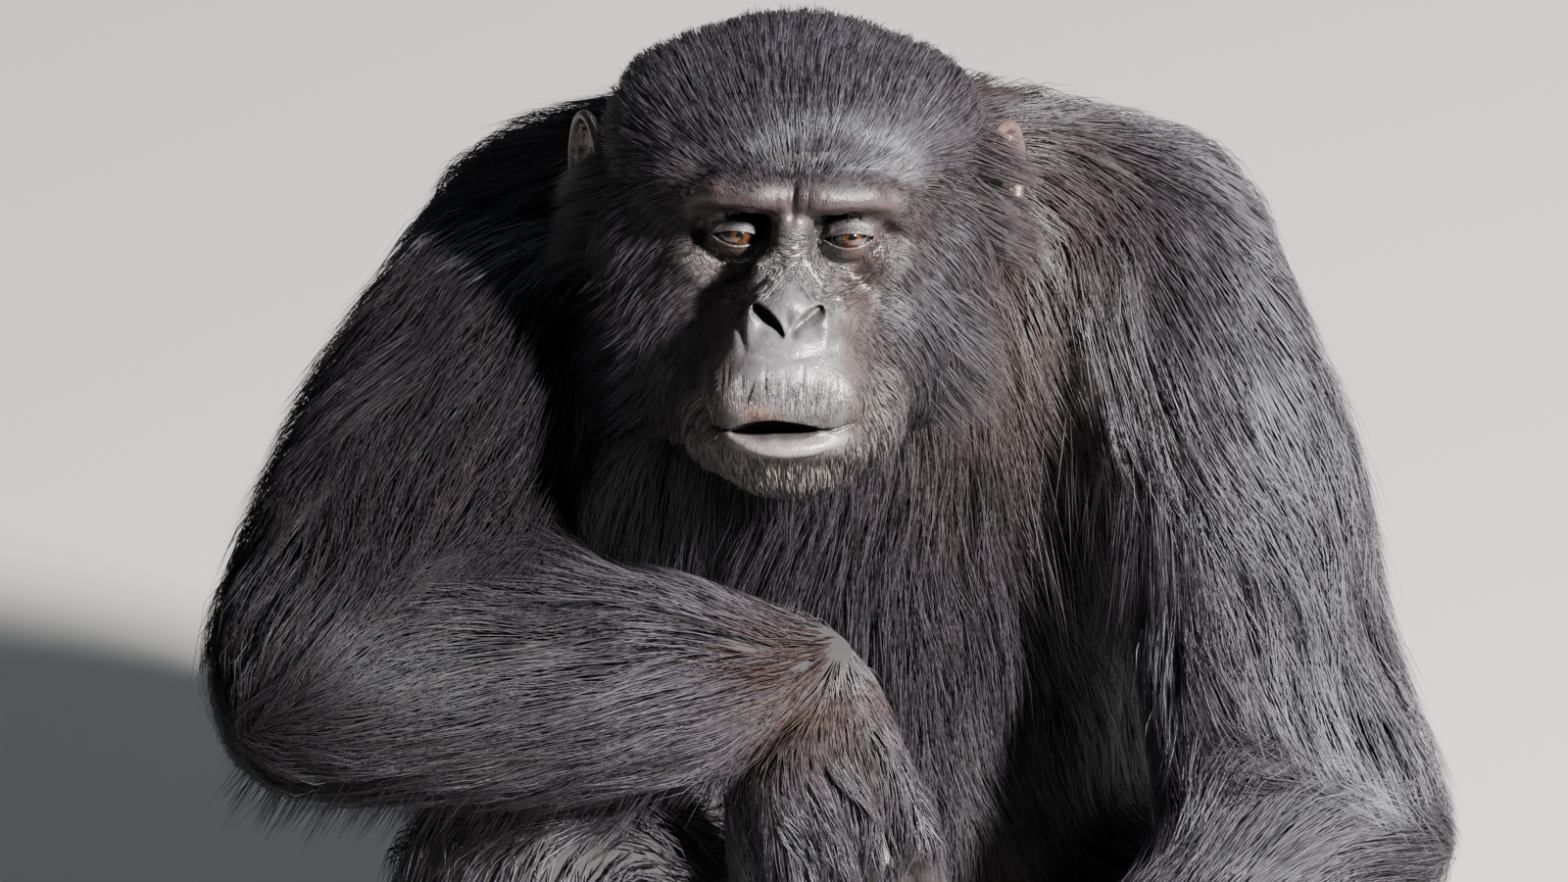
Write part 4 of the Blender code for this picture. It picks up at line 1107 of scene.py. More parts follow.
IRIS_ANGLE = math.radians(29)
CORNEA_RISE = 0.0011
GAZE = Vector((0.14, -1, 0.10)).normalized()
# The iris's own amber-brown is deepened towards black as painted shade of the brow.
EYE_RINGS = (
    # share of the iris's radius, colour: pupil, inner iris, iris, its rim, white of the eye
    (0.33, (0.002, 0.002, 0.002)),
    (0.38, (0.028, 0.010, 0.004)),
    (0.62, (0.042, 0.016, 0.005)),
    (0.86, (0.014, 0.006, 0.004)),
    (0.97, (0.006, 0.004, 0.004)),
)


def ramp(finish, share, stops):
    """Colours that change with a share, from stop to stop."""
    colours = node(finish, "ValToRGB", "Color", share)
    elements = colours.node.color_ramp.elements
    for index, (position, colour) in enumerate(stops):
        stop = elements[index] if index < 2 else elements.new(position)
        stop.position = position
        stop.color = (*colour, 1)
    return colours


eye_finish, shader = new_finish("wet_eye", Roughness=0.12, Coat_Weight=1.0, Coat_Roughness=0.03)
place_of = node(eye_finish, "TexCoord", "Object")
fibres = node(eye_finish, "TexNoise", "Fac", place_of, Scale=900.0, Detail=5.0)
ring_share = noted(eye_finish, "ring")
wavy_ring = node(eye_finish, "Math", "Value", fibres, 0.05, ring_share, operation="MULTIPLY_ADD")
feed(shader, Base_Color=ramp(eye_finish, wavy_ring, EYE_RINGS))

for name, side in SIDE_OF.items():
    eye_bm = bmesh.new()
    bmesh.ops.create_uvsphere(eye_bm, u_segments=64, v_segments=48, radius=EYE_RADIUS)
    eyeball = mesh_of(eye_bm, "eye_" + name)
    turn = GAZE.to_track_quat("Z", "Y").to_matrix().to_4x4()
    ball_points = points_of(eyeball)
    off_gaze = np.arccos(np.clip(ball_points[:, 2] / EYE_RADIUS, -1, 1))
    bulge = np.cos(np.clip(off_gaze / IRIS_ANGLE, 0, 1) * math.pi / 2) ** 1.5
    ball_points *= (1 + CORNEA_RISE / EYE_RADIUS * bulge)[:, None]
    set_points(eyeball, ball_points)
    give(eyeball, "ring", off_gaze / IRIS_ANGLE)
    eyeball.transform(HEAD @ Matrix.Translation((side * PUPIL_SPAN / 2, EYE_DEPTH, 0)) @ turn)
    eyeball.shade_smooth()
    eyeball.materials.append(eye_finish)
    eye = placed("wet_eye_" + name, eyeball)
    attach(eye, "root")
    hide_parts("eye_" + name)

# ---------------------------------------------------------------- Nails
# Flat dark nails of horn on all twenty fingers and toes, arched across, rooted under the skin and worn at
# the tip.

NAIL_HALF_ARC = math.radians(58)
NAIL_THICKNESS = 0.0007
NAILS_A_LIMB = 5
HORN_STOPS = ((0.30, (0.020, 0.015, 0.013)), (0.75, (0.085, 0.064, 0.050)))

nail_finish, shader = new_finish("nail_horn")
place_of = node(nail_finish, "TexCoord", "Object")
streaks = node(nail_finish, "TexNoise", "Fac", place_of, Scale=520.0, Detail=4.0, Roughness=0.6)
horn_gloss = node(nail_finish, "MapRange", "Result", streaks, To_Min=0.28, To_Max=0.50)
horn_bump = node(nail_finish, "Bump", "Normal", Strength=0.4, Distance=0.0002, Height=streaks)
feed(shader, Base_Color=ramp(nail_finish, streaks, HORN_STOPS), Roughness=horn_gloss, Normal=horn_bump)

for index, limb in enumerate(("hand_r", "hand_l", "foot_r", "foot_l")):
    nail_bm = bmesh.new()
    for seat, tip_radius in nail_beds[index * NAILS_A_LIMB : (index + 1) * NAILS_A_LIMB]:
        plate = bmesh.ops.create_grid(nail_bm, x_segments=12, y_segments=10, size=1)["verts"]
        for vert in plate:
            across, along_nail = vert.co.x, vert.co.y
            rounded = 1 - 0.30 * max(0.0, along_nail) ** 4 * across**2
            angle = across * NAIL_HALF_ARC * (0.90 + 0.10 * along_nail)
            sunk_root = 0.945 + 0.055 * min(1.0, along_nail + 1.0)
            off_axis = tip_radius * (sunk_root - 0.05 * max(0.0, along_nail) ** 2)
            reach_on = tip_radius * (-0.10 + 0.92 * along_nail * rounded)
            vert.co = seat @ Vector((off_axis * math.sin(angle), reach_on, off_axis * math.cos(angle)))
        plate_faces = list({face for vert in plate for face in vert.link_faces})
        bmesh.ops.solidify(nail_bm, geom=plate_faces, thickness=NAIL_THICKNESS)
    bmesh.ops.recalc_face_normals(nail_bm, faces=nail_bm.faces[:])
    nails = mesh_of(nail_bm, "nails_" + limb)
    nails.shade_smooth()
    nails.materials.append(nail_finish)
    nail_object = placed("nails_" + limb, nails)
    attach(nail_object, "root")

# ---------------------------------------------------------------- Lie of the coat
# Every hair leaves the skin at a slant and lies along the body: back from the brow over crown and nape,
# down the cheeks, chest and back, down the upper arm and up the forearm to the elbow, down the legs. Long
# over shoulders, arms and back, short on the face, thin on the belly.

FOREHEAD_CENTRE = Vector((0.0, -0.050, -0.010))
SPINE_X = at(0.040, 0, 0).x
KNOB = WRISTS["r"] + Vector((0.020, -0.020, 0.012))  # the worn, nearly bare knuckle of the bent right wrist


def towards(start, end):
    """The direction from one joint to the next as a row of numbers."""
    return np.array((end - start).normalized())


lie = np.zeros((len(skin_points), 3))
length = np.zeros(len(skin_points))
depth = np.zeros(len(skin_points))
side_of_spine = np.clip((skin_points[:, 0] - SPINE_X) / 0.08, -1, 1)
right_half = skin_points[:, 0] < SPINE_X
front = eased(0.3, -0.3, skin_normals[:, 1])
zero = np.zeros(len(skin_points))
one = np.ones(len(skin_points))

chest_lie = np.stack([0.38 * side_of_spine, -0.10 * one, -one], 1)
back_lie = np.stack([0.30 * side_of_spine, 0.25 * one, -one], 1)
trunk_lie = chest_lie * front[:, None] + back_lie * (1 - front[:, None])
nape_lie = np.stack([0.75 * side_of_spine, 0.9 * one, -0.35 * one], 1)
throat_lie = np.stack([0.30 * side_of_spine, 0.15 * one, -one], 1)
neck_lie = throat_lie * front[:, None] + nape_lie * (1 - front[:, None])
belly_lie = np.stack([-0.10 * side_of_spine, zero, -one], 1)
for name in SIDE_OF:
    on_side = right_half == (name == "r")
    for part, coat_lie, coat_length, coat_depth in (
        # part, way of its hair, length, how far it stands out
        ("chest", trunk_lie[on_side & (skin_owner == "chest")], 0.066, 0.012),
        ("neck", neck_lie[on_side & (skin_owner == "neck")], 0.058, 0.014),
        ("abdomen", belly_lie[on_side & (skin_owner == "abdomen")], 0.044, 0.009),
        ("upper_arm", towards(SHOULDERS[name], ELBOWS[name]), 0.082, 0.017),
        ("forearm", towards(WRISTS[name], ELBOWS[name]) + np.array((0, 0, -0.25)), 0.070, 0.015),
        ("hand", towards(Vector(), HAND_ALONG[name]), 0.030, 0.008),
        ("thigh", towards(HIPS[name], KNEES[name]), 0.054, 0.014),
        ("shank", towards(KNEES[name], ANKLES[name]), 0.044, 0.012),
        ("foot", towards(ANKLES[name], ANKLES[name] + Vector((0, -1, -0.1))), 0.012, 0.004),
    ):
        here = (skin_owner == part) & on_side
        lie[here] = coat_lie
        length[here] = coat_length
        depth[here] = coat_depth

on_forehead = on_head * eased(0.022, 0.029, z) * (1 - eased(0.060, 0.095, z)) * (y < 0.08)
on_forehead *= 1 - eased(0.045, 0.070, np.abs(x))

# On the head the hair fans out from the brow, and sinks downwards at the temples and the cheeks.
fan = head_points - np.array(FOREHEAD_CENTRE)
fan /= np.linalg.norm(fan, axis=1)[:, None]
sink = 1.3 * eased(0.035, 0.070, np.abs(x)) * eased(0.060, -0.010, z) + 1.6 * eased(-0.085, -0.105, z)
fan += np.stack([zero, zero, -sink], 1)
fan += np.stack([zero, 0.5 * eased(-0.085, -0.105, z), zero], 1)
head_lie = fan @ np.array(HEAD)[:3, :3].T
on_cheek = eased(0.050, 0.080, np.abs(x)) * eased(0.020, -0.040, z)
two_sided = np.stack([np.abs(x), y, z], 1)
beside_ear = within(two_sided, (0.090, 0.062, -0.010), (0.030, 0.030, 0.042))
head_length = 0.0065 + 0.65 * np.clip(beyond_face, 0, 0.060) + 0.012 * on_forehead
head_length = np.minimum(head_length, 0.030 + 0.020 * on_cheek + 0.016 * beside_ear)
head_depth = 0.0010 + 0.17 * np.clip(beyond_face, 0, 0.08)
head_depth = np.minimum(head_depth, 0.0085 + 0.009 * on_cheek + 0.012 * beside_ear)
here = np.isin(skin_owner, ("head", "lower_jaw", "ear"))
lie[here] = head_lie[here]
length[here] = head_length[here]
depth[here] = head_depth[here]

# The worn knob of the wrist: short hair that fans out from it.
off_knob = skin_points - np.array(KNOB)
knob_gap = np.linalg.norm(off_knob, axis=1)
knob = fading(knob_gap, 0.032)
lie += 0.22 * off_knob / np.maximum(knob_gap, 1e-4)[:, None] * knob[:, None]
length *= 1 - 0.38 * fading(knob_gap, 0.026)
depth *= 1 - 0.60 * fading(knob_gap, 0.034)


def flattened(ways):
    """Ways at the skin's points, laid into the skin and scaled to length one."""
    ways = ways - skin_normals * (ways * skin_normals).sum(1)[:, None]
    return ways / np.maximum(np.linalg.norm(ways, axis=1), 1e-4)[:, None]


lie = flattened(averaged(flattened(lie), skin_edges, 25))
length = averaged(length, skin_edges, 12)
depth = averaged(depth, skin_edges, 12)

# The underfur packs into wisps, long along the lie and a few centimetres across, that stand out from the
# hide.
WISPS_A_METRE = 42
WISP_STRETCH = 0.72
wisp_height = np.zeros(len(skin_points))
for name in SIDE_OF:
    on_side = right_half == (name == "r")
    for part, axis, amount in (
        ("upper_arm", towards(SHOULDERS[name], ELBOWS[name]), 0.0085),
        ("forearm", towards(ELBOWS[name], WRISTS[name]), 0.0060),
        ("chest", np.array((0, 0, 1.0)), 0.0065),
        ("neck", np.array((0, 0.5, 0.85)), 0.0040),
        ("abdomen", np.array((0, 0, 1.0)), 0.0030),
        ("thigh", towards(HIPS[name], KNEES[name]), 0.0030),
        ("shank", towards(KNEES[name], ANKLES[name]), 0.0025),
    ):
        here = np.flatnonzero((skin_owner == part) & on_side)
        place = skin_points[here] * WISPS_A_METRE
        place -= np.outer(place @ axis, axis) * WISP_STRETCH
        wisp_height[here] = amount * (noise_at(place) + 0.5 * noise_at(place * 2.3 + 7))
wisp_height = averaged(wisp_height, skin_edges, 3) * np.clip(depth / 0.010, 0, 1)
wisp_height *= np.clip(skin_points[:, 2] / 0.10, 0, 1) * (1 - fading(knob_gap, 0.030))
skin_points += skin_normals * wisp_height[:, None]
set_points(skin, skin_points)
near_seat = np.clip(skin_points[:, 2] / SEAT_HEIGHT, 0, 1)
depth *= 0.15 + 0.85 * near_seat
growth = (1 - eased(0.30, 0.985, bare)) ** 1.2
growth = np.maximum(growth, on_forehead)
growth *= 1 + 1.4 * fading(knob_gap, 0.036)
growth *= 1 - 0.35 * on_belly
growth *= 1 - 0.62 * spot(*GLOSSY_HIGHLIGHT_SPOT)
thin_cheek = eased(-0.022, -0.004, beyond_face) * (beyond_face < 0.01) * (np.abs(x) > 0.030) * (z < 0.000)
growth = np.maximum(growth, 0.35 * thin_cheek * on_head)

# ---------------------------------------------------------------- One lock of hair
# A thin tuft of a few hairs stuck together: a three-sided, flattened spike that narrows to a point. Its root
# is sunk in the skin, and many thousands of them lie over each other like thatch.

LOCK_RINGS = 2
TIP = 0.999  # share of a lock's height above which there is only its point


def lock_shape():
    """A closed three-sided spike of unit length: its points' heights, their turns round its middle line, and
    its faces."""
    bm = bmesh.new()
    lift = Matrix.Translation((0, 0, 0.5))
    bmesh.ops.create_cone(bm, cap_ends=True, segments=3, radius1=1, radius2=0, depth=1, matrix=lift)
    for ring in range(1, LOCK_RINGS):
        cut, geom = (0, 0, ring / LOCK_RINGS), bm.verts[:] + bm.edges[:] + bm.faces[:]
        bmesh.ops.bisect_plane(bm, geom=geom, plane_co=cut, plane_no=(0, 0, 1))
    bmesh.ops.triangulate(bm, faces=bm.faces[:])
    bm.verts.index_update()
    heights = np.array([v.co.z for v in bm.verts])
    turns = np.array([math.atan2(v.co.y, v.co.x) if v.co.z < TIP else 0 for v in bm.verts])
    faces = np.array([[v.index for v in f.verts] for f in bm.faces])
    bm.free()
    return heights, turns, faces


def patch_of_lock():
    """Where each corner of a lock's faces lies in its patch: the three sides in a row, root to tip."""
    rows = []
    for face in LOCK_FACES:
        level = LOCK_HEIGHTS[face]
        turn = LOCK_TURNS[face] % (2 * math.pi)
        if level.max() == 0:
            rows.extend([(0.0, 0.0), (0.6, 0.0), (0.3, 0.25)])
            continue
        low = [t for t, height in zip(turn, level) if height < TIP]
        start = min(low)
        if max(low) - start > math.pi:
            start = max(low)
        for t, height in zip(turn, level):
            share = 0.5 if height > TIP else (0.0 if abs(t - start) < 0.1 else 1.0)
            rows.append((round(start / (2 * math.pi) * 3) / 3 % 1.0 * 0.98 + share * 0.31, height))
    return np.array(rows)


LOCK_HEIGHTS, LOCK_TURNS, LOCK_FACES = lock_shape()
LOCK_PATCH = patch_of_lock()

skin_tree = BVHTree.FromPolygons([v.co for v in skin.vertices], [tuple(p.vertices) for p in skin.polygons])
skin_faces = rows_of(skin.polygons, "vertices", 3, np.int32)
corners = skin_points[skin_faces]
corner_ways = np.cross(corners[:, 1] - corners[:, 0], corners[:, 2] - corners[:, 0])
face_areas = 0.5 * np.linalg.norm(corner_ways, axis=1)
face_growth = growth[skin_faces].mean(1)
face_middles = corners.mean(1)
face_owner = skin_owner[skin_faces[:, 0]]
face_right = right_half[skin_faces[:, 0]]


def unit(rows):
    """Rows scaled to length one."""
    return rows / np.maximum(np.linalg.norm(rows, axis=1), 1e-9)[:, None]


def grown(faces, count, rng, weight):
    """Roots strewn over some faces of the skin by area and weight: each one's face and its three shares."""
    chance = face_areas[faces] * weight[faces]
    total = np.cumsum(chance)
    picks = faces[np.searchsorted(total, rng.random(count) * total[-1])]
    a, b = rng.random(count), rng.random(count)
    over = a + b > 1
    a[over], b[over] = 1 - a[over], 1 - b[over]
    return picks, np.stack([1 - a - b, a, b], 1)


def at_roots(values, picks, shares):
    """Values of the skin's points, mixed at the roots."""
    return np.einsum("nk,nk...->n...", shares, values[skin_faces[picks]])


# ---------------------------------------------------------------- The coat
# About 150,000 locks in some two dozen pieces, one for each part of the body and a few that hang free.
# Neighbouring locks share the sway of a bunch, so the coat parts and clings together as real hair does.

BLACK_HAIR = np.array((0.0042, 0.0035, 0.0041))
BROWN_HAIR = np.array((0.0260, 0.0155, 0.0125))
GREY_HAIR = np.array((0.0300, 0.0270, 0.0300))
WHITE_HAIR = np.array((0.1700, 0.1500, 0.1350))
# Paler locks strewn over the coat are its sheen, painted.
SHEEN_PAINTED_HAIR = np.array((0.0235, 0.0205, 0.0260))

STRAY_SHARE = 0.012  # of the locks stand above the rest
ROOT_DEPTH = 0.0006
SKIN_CLEARANCE = 0.0016
LOCK_FLATNESS = 0.45  # its height as a share of its width
FACE_SPREAD = 0.003  # how wide a lock's patch is on the coat's map
MAP_MARGIN = 0.004
SHADED_PIECES = ("coat_upper_arm_r", "coat_forearm_r", "coat_fringe_r")

coat_finish, shader = new_finish("black_hair", Specular_IOR_Level=0.38, Specular_Tint=(0.86, 0.92, 1.0, 1))
place_of = node(coat_finish, "TexCoord", "Object")
streaks = node(coat_finish, "TexNoise", "Fac", place_of, Scale=260.0, Detail=3.0)
streaking = node(coat_finish, "MapRange", "Result", streaks, **NOISE_RANGE, To_Min=0.65, To_Max=1.45)
tint = noted(coat_finish, "tint", "Color")
streaked = node(coat_finish, "VectorMath", "Vector", tint, operation="SCALE", Scale=streaking)
hair_gloss = node(coat_finish, "MapRange", "Result", streaks, To_Min=0.32, To_Max=0.50)
feed(shader, Base_Color=streaked, Roughness=hair_gloss)

# The right arm's hair gets a shaded copy of the coat's finish with little gloss and no paler sheen locks:
# painted shade.
shaded_finish = coat_finish.copy()
shaded_finish.name = "dull_black_hair"
feed(shaded_finish.node_tree.nodes["Principled BSDF"], Specular_IOR_Level=0.12)

spine = np.array(at(0.045, 0.050, 0.3))
head_middle = np.array(HEAD @ Vector((0, 0.06, -0.01)))


def round_map(points, middle, axis):
    """A roll-out of the skin round an axis: the turn about it and the way along it."""
    axis = unit(np.array([axis], float))[0]
    across = unit(np.array([np.cross(axis, (0.3, 0.9, 0.2))]))[0]
    other = np.cross(axis, across)
    off = points - middle
    return np.stack([np.arctan2(off @ other, off @ across), off @ axis], 1)


def globe_map(points, middle):
    """A roll-out of the skin round a ball: longitude, its seam at the back, and latitude."""
    off = unit((points - middle) @ np.array(HEAD)[:3, :3])
    return np.stack([np.arctan2(off[:, 0], -off[:, 1]), np.arcsin(np.clip(off[:, 2], -1, 1))], 1)


def nearest_of(middles, points):
    """For each point, the place in the list of the nearest of the middles."""
    finder = KDTree(len(middles))
    for index, middle in enumerate(middles.tolist()):
        finder.insert(middle, index)
    finder.balance()
    return np.array([finder.find(point)[1] for point in points.tolist()])


def walked(root, normal, heading, sway, full, rise, layer, pull, free):
    """Where each lock is at its root and at its rings, and the outward direction there.

    A lock walks over the skin along the lie of the coat, rising from the root to its own layer. A free one
    keeps its own heading instead.
    """
    path = np.stack([root - normal * ROOT_DEPTH] * (LOCK_RINGS + 1), 1)
    outward = np.stack([normal] * (LOCK_RINGS + 1), 1)
    foot = root
    for step in range(1, LOCK_RINGS + 1):
        way_on = step / LOCK_RINGS
        side_way = np.cross(normal, heading)
        swayed = heading * np.cos(sway)[:, None] + side_way * np.sin(sway)[:, None]
        foot = foot + swayed * (full / LOCK_RINGS)[:, None] + pull / LOCK_RINGS
        if free:
            height = rise * layer * way_on
        else:
            found = [skin_tree.find_nearest(point) for point in foot.tolist()]
            foot = np.array([hit[0] for hit in found])
            nearest = skin_faces[np.array([hit[2] for hit in found]), 0]
            normal = unit(skin_normals[nearest] * 0.5 + outward[:, step - 1] * 0.5)
            heading = unit(lie[nearest] * 0.65 + swayed * 0.35)
            heading = unit(heading - normal * (heading * normal).sum(1)[:, None])
            room = np.minimum(1.0, (depth[nearest] + 0.002) / np.maximum(rise, 1e-4))
            height = rise * layer * (1 - (1 - way_on) ** 1.8) * np.clip(room, 0.35, 1.0)
        path[:, step] = foot + normal * height[:, None]
        outward[:, step] = normal
    path[:, :, 2] = np.maximum(path[:, :, 2], SKIN_CLEARANCE)
    return path, outward


def lock_mesh(name, points, facing, colours, flat_map):
    """The locks of a piece as one mesh, with every lock's patch of the map and the tint of its hair."""
    mesh = bpy.data.meshes.new(name)
    total_faces = len(points) * len(LOCK_FACES)
    mesh.vertices.add(len(points) * len(LOCK_HEIGHTS))
    mesh.loops.add(total_faces * 3)
    mesh.polygons.add(total_faces)
    mesh.vertices.foreach_set("co", points.astype(np.float32).ravel())
    loops = LOCK_FACES.ravel()[None, :] + (np.arange(len(points)) * len(LOCK_HEIGHTS))[:, None]
    mesh.loops.foreach_set("vertex_index", loops.ravel().astype(np.int32))
    mesh.polygons.foreach_set("loop_start", (np.arange(total_faces) * 3).astype(np.int32))
    mesh.update(calc_edges=True)
    low, high = flat_map.min(0), flat_map.max(0)
    flat_map = MAP_MARGIN + (flat_map - low) / (high - low) * (1 - 2 * MAP_MARGIN - FACE_SPREAD)
    places = flat_map[:, None, :] + LOCK_PATCH[None, :, :] * FACE_SPREAD
    mesh.uv_layers.new(name="OFBake").uv.foreach_set("vector", places.astype(np.float32).ravel())
    tips = 1.0 + 0.5 * LOCK_HEIGHTS  # the hair pales towards its tip
    give(mesh, "tint", (colours[:, None, :] * tips[None, :, None]).reshape(-1, 3))
    mesh.shade_smooth()
    mesh.normals_split_custom_set_from_vertices(facing.tolist())
    return mesh


def grow(
    name, where, count, thickness, seed,
    weight=1, roll=None, free=None, cling=0.50, calm=0.80, bunch_size=0.0110,
):  # fmt: skip
    """Grows one piece of the coat on the faces of the skin picked by where, as many locks as count.

    The locks are drawn into bunches by the share cling and swayed by calm times the coat's sway. Free ones
    stand off in a heading of their own, given with their length and how far they rise. The coat's map is
    rolled out round the axis roll, a point and a way, or round the head.
    """
    rng = np.random.default_rng(seed)
    faces = np.flatnonzero(where & (face_growth > 0.02))
    picks, shares = grown(faces, count, rng, face_growth * weight)
    heading, full, rise = [at_roots(values, picks, shares) for values in (lie, length, depth)]
    if free is not None:
        heading, full, rise = [np.tile(np.array(value), (count, 1)) for value in free]
        full, rise = full[:, 0], rise[:, 0]
    root = at_roots(skin_points, picks, shares)
    thin = np.clip(at_roots(growth, picks, shares), 0, 1)

    # Bunches: each root takes the sway, the length and the tone of the nearest bunch's middle.
    bunch_count = max(8, int(face_areas[faces].sum() / bunch_size**2))
    bunch_root = at_roots(skin_points, *grown(faces, bunch_count, rng, np.ones(len(face_growth))))
    bunch = nearest_of(bunch_root, root)
    drift = noise_at(bunch_root * 16)
    sway = calm * ((rng.normal(0, 0.09, bunch_count) + 0.40 * drift)[bunch] + rng.normal(0, 0.055, count))
    full = full * (rng.uniform(0.82, 1.12, bunch_count))[bunch] * rng.uniform(0.72, 1.12, count)
    layer = 0.35 * rng.uniform(0.1, 1.0, count) + 0.65 * (rng.uniform(0.1, 1.0, bunch_count))[bunch]
    stray = rng.random(count) < STRAY_SHARE
    layer = np.where(stray, rng.uniform(1.0, 1.2, count), layer)
    tone = 0.6 * (rng.random(bunch_count))[bunch] + 0.4 * rng.random(count)
    pull = (bunch_root[bunch] - root) * cling
    normal = unit(at_roots(skin_normals, picks, shares))
    path, outward = walked(root, normal, unit(heading), sway, full, rise, layer, pull, free is not None)

    # Points of all the locks, and which way the hair faces there.
    along = np.gradient(path, axis=1)
    along = unit(along.reshape(-1, 3)).reshape(along.shape)
    level = np.rint(LOCK_HEIGHTS * LOCK_RINGS).astype(int)
    wide = np.interp(LOCK_HEIGHTS, (0, 0.35, 0.75, 1.0), (0.85, 1.0, 0.62, 0.0))
    across = unit(np.cross(outward, along).reshape(-1, 3)).reshape(along.shape)
    upright = np.cross(along, across)
    roll_about = rng.uniform(-0.35, 0.35, count)[:, None] + LOCK_TURNS[None, :]
    radius = (thickness * rng.uniform(0.65, 1.25, count) * (0.55 + 0.45 * thin))[:, None] * wide[None, :]
    spread = (radius * np.cos(roll_about))[:, :, None] * across[:, level]
    spread += (LOCK_FLATNESS * radius * np.sin(roll_about))[:, :, None] * upright[:, level]
    facing = 0.17 * outward[:, level] + 0.83 * unit(spread.reshape(-1, 3)).reshape(spread.shape)

    colours = hair_colours(root, picks, shares, tone)
    flat_map = globe_map(root, head_middle) if roll is None else round_map(root, *roll)
    mesh = lock_mesh(name, path[:, level] + spread, unit(facing.reshape(-1, 3)), colours, flat_map)
    mesh.materials.append(shaded_finish if name in SHADED_PIECES else coat_finish)
    piece = placed(name, mesh)
    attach(piece, "root")


def hair_colours(root, picks, shares, tone):
    """Black hair with a share of brown locks, browner on the left of the neck and on the wrist's knob, white
    on lips and chin, and a share of paler locks painted as sheen, left out on the right arm as painted shade.
    """
    place = in_axes(HEAD, root)
    owner = face_owner[picks]
    on_knob = at_roots(knob, picks, shares)
    brown = np.clip((tone - 0.66) * 1.6, 0, 1) * 0.6
    brown += 0.65 * within(root, at(0.105, -0.05, 0.55), (0.055, 0.10, 0.10)) + 0.7 * on_knob
    near_face = fading(np.clip(at_roots(beyond_face, picks, shares), 0, 1), 0.018)
    brown += 0.25 * near_face * np.isin(owner, ("head", "lower_jaw")) * (place[:, 2] < 0.03)
    shaded_right_arm = np.isin(owner, ("upper_arm", "forearm", "hand"))
    shaded_right_arm = shaded_right_arm * eased(-0.02, -0.10, root[:, 0] - at(0, 0, 0).x)
    # A share of paler locks paints the coat's sheen; on the right arm, away from the knob, they are left out
    # as painted shade.
    sheen_locks = (np.modf(tone * 53)[0] > 0.45) * (1 - 0.85 * shaded_right_arm * (1 - on_knob))
    colours = blend(np.tile(BLACK_HAIR, (len(root), 1)), SHEEN_PAINTED_HAIR, sheen_locks)
    colours = blend(colours, BROWN_HAIR, brown)
    colours = blend(colours, GREY_HAIR, 0.8 * at_roots(on_belly, picks, shares) * (0.4 + 0.6 * tone))
    across, up = np.abs(place[:, 0]), place[:, 2]
    chin = fading(across, 0.034) * fading(up + 0.100, 0.013) * (place[:, 1] < 0.03)
    corner = fading(across - 0.041, 0.009) * fading(up + 0.076, 0.018) * (place[:, 1] < 0.02)
    white = (0.95 * chin + 0.7 * corner) * (np.modf(tone * 37)[0] > 0.70)
    return blend(colours, WHITE_HAIR, white)


on_skull = np.isin(face_owner, ("head", "lower_jaw", "ear"))
side_x, back_y, up_z = in_axes(HEAD, face_middles).T
both_sides = np.stack([np.abs(side_x), back_y, up_z], 1)
crown = on_skull & (up_z > 0.000)
crown_front = crown & (back_y < 0.085)
near_edge = np.clip(beyond_face[skin_faces].mean(1), 0, 1)
short_weight = 1 + 1.5 * fading(near_edge, 0.020) + 1.2 * on_forehead[skin_faces].mean(1)
fine = {"cling": 0.22, "calm": 0.42, "bunch_size": 0.0045}
EAR_ROOT_RADII = (0.016, 0.016, 0.021)
RUFF, RUFF_RADII = (0.078, 0.050, -0.066), (0.014, 0.030, 0.030)
grow("coat_crown_front", crown_front, 18000, 0.00026, 11, weight=short_weight, **fine)
grow("coat_crown_back", crown & ~crown_front, 5000, 0.00034, 12, **fine)
for name, side, seed in (("r", -1, 17), ("l", 1, 18)):
    half = (side_x < 0) == (name == "r")
    grow(f"coat_cheek_{name}", on_skull & ~crown & half, 12500, 0.00026, seed, weight=short_weight, **fine)

    # Locks that hang over the ear's root and stand off the cheek's outline.
    ear_root = (0.084, 0.072, 0.003 * (1 + 2 * side))
    for tuft, middle, radii, way, size, *settings in (
        # name, place on the head, its radii, way of the locks, length and rise, number, thickness, seed
        ("by_ear", ear_root, EAR_ROOT_RADII, (0.60, 0.50, -0.48), (0.040, 0.010), 1500, 0.00028, seed + 30),
        ("ruff", RUFF, RUFF_RADII, (0.72, 0.25, -0.65), (0.027, 0.006), 800, 0.00027, seed + 40),
    ):
        there = within(both_sides, middle, radii)
        where = on_skull & half & (there > 0.05)
        free = (HEAD.to_3x3() @ mirrored(way, side).normalized(), *size)
        grow(f"coat_{tuft}_{name}", where, *settings, weight=there, free=free)
chest_faces = face_owner == "chest"
front_faces = face_middles[:, 1] < spine[1]
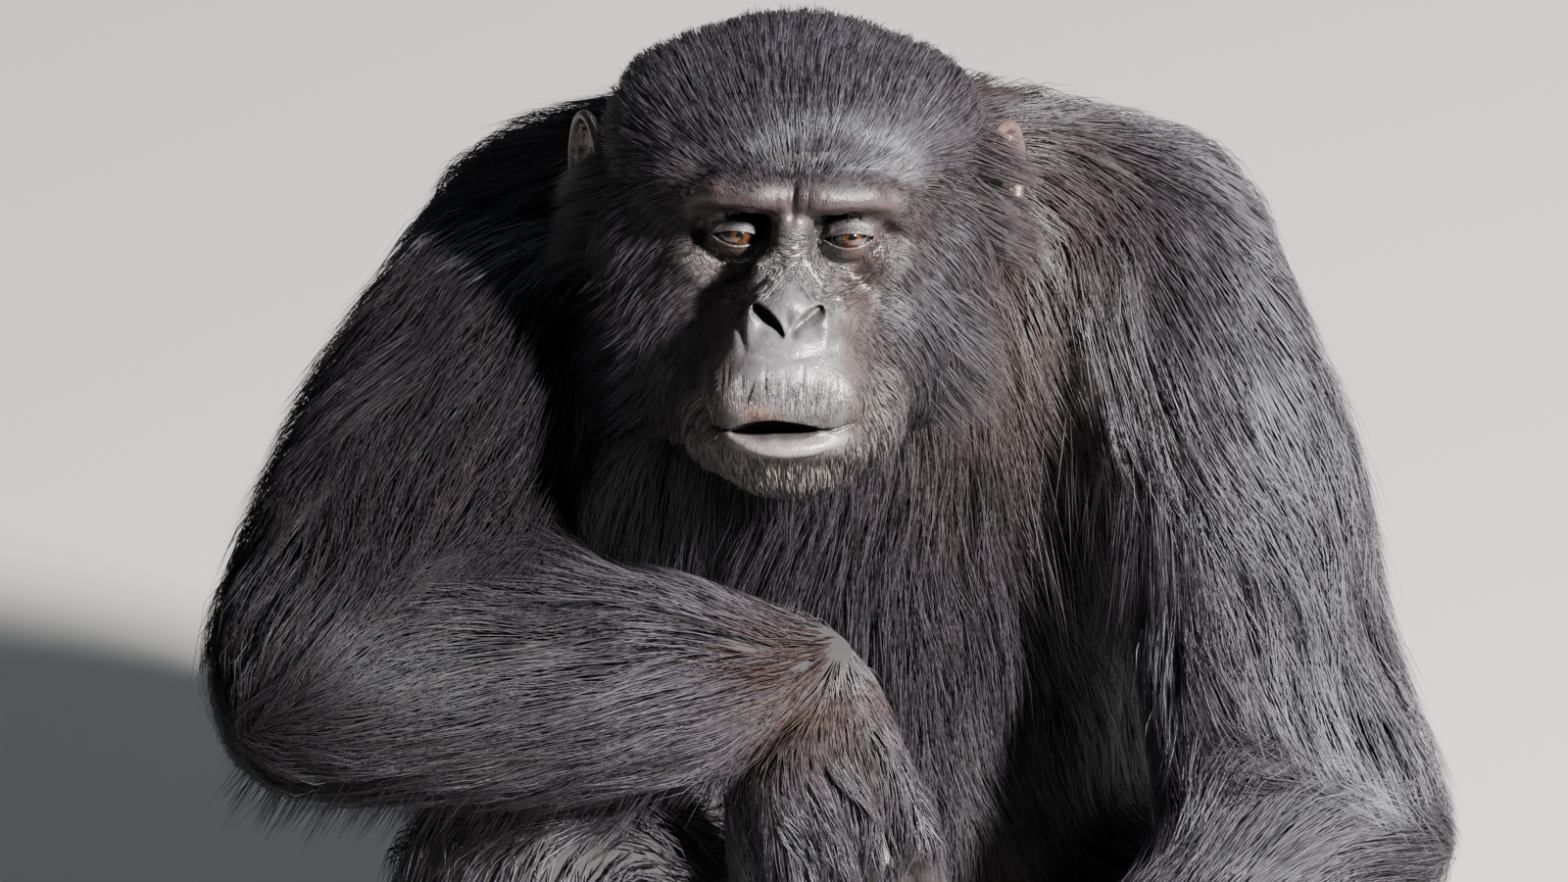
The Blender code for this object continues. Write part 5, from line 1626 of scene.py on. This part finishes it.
for part, where, count, thickness, seed, way in (
    ("neck", face_owner == "neck", 9000, 0.00036, 13, (0, 0.3, 1)),
    ("chest", chest_faces & front_faces, 13500, 0.00037, 14, (0, 0, 1)),
    ("back", chest_faces & ~front_faces, 10000, 0.00056, 15, (0, 0, 1)),
    ("belly", face_owner == "abdomen", 7500, 0.00052, 16, (0, 0, 1)),
):
    grow(f"coat_{part}", where, count, thickness, seed, roll=(spine, way))
overhang = within(face_middles, at(0.215, -0.080, 0.450), (0.060, 0.060, 0.045))
cape_faces = np.isin(face_owner, ("upper_arm", "chest")) & (overhang > 0.05)
cape_roll = (np.array(at(0.2, 0, 0.4)), (0, 0, 1))
cape_hair = ((0.12, -0.28, -1), 0.085, 0.022)
grow("coat_cape_l", cape_faces, 1600, 0.00046, 60, weight=overhang, roll=cape_roll, free=cape_hair)

# Loose hair that hangs from the underside of the raised right forearm.
facing_down = np.clip(-skin_normals[skin_faces, 2].mean(1) - 0.15, 0, 1)
under_arm = (face_owner == "forearm") & face_right & (facing_down > 0.02)
fringe_lie = (WRISTS["r"] - ELBOWS["r"]).normalized() * -0.7 + Vector((0, -0.15, -1))
arm_roll = (np.array(ELBOWS["r"]), np.array(WRISTS["r"] - ELBOWS["r"]))
fringe_hair = (fringe_lie, 0.034, 0.004)
grow("coat_fringe_r", under_arm, 900, 0.00032, 61, weight=facing_down, roll=arm_roll, free=fringe_hair)
seed = 20
for name, hand_locks in (("r", 4100), ("l", 1600)):
    half = face_right == (name == "r")
    hand_end, foot_end = WRISTS[name] + HAND_ALONG[name], ANKLES[name] + Vector((0, -1, 0))
    for part, start, end, count, thickness in (
        ("upper_arm", SHOULDERS[name], ELBOWS[name], 9900, 0.00038),
        ("forearm", ELBOWS[name], WRISTS[name], 7900, 0.00038),
        ("thigh", HIPS[name], KNEES[name], 3400, 0.00060),
        ("shank", KNEES[name], ANKLES[name], 2800, 0.00056),
        ("hand", WRISTS[name], hand_end, hand_locks, 0.00044),
        ("foot", ANKLES[name], foot_end, 700, 0.00044),
    ):
        seed += 1
        middle = start if part in ("hand", "foot") else (start + end) / 2
        roll = (np.array(middle), np.array(end - start))
        grow(f"coat_{part}_{name}", (face_owner == part) & half, count, thickness, seed, roll=roll)
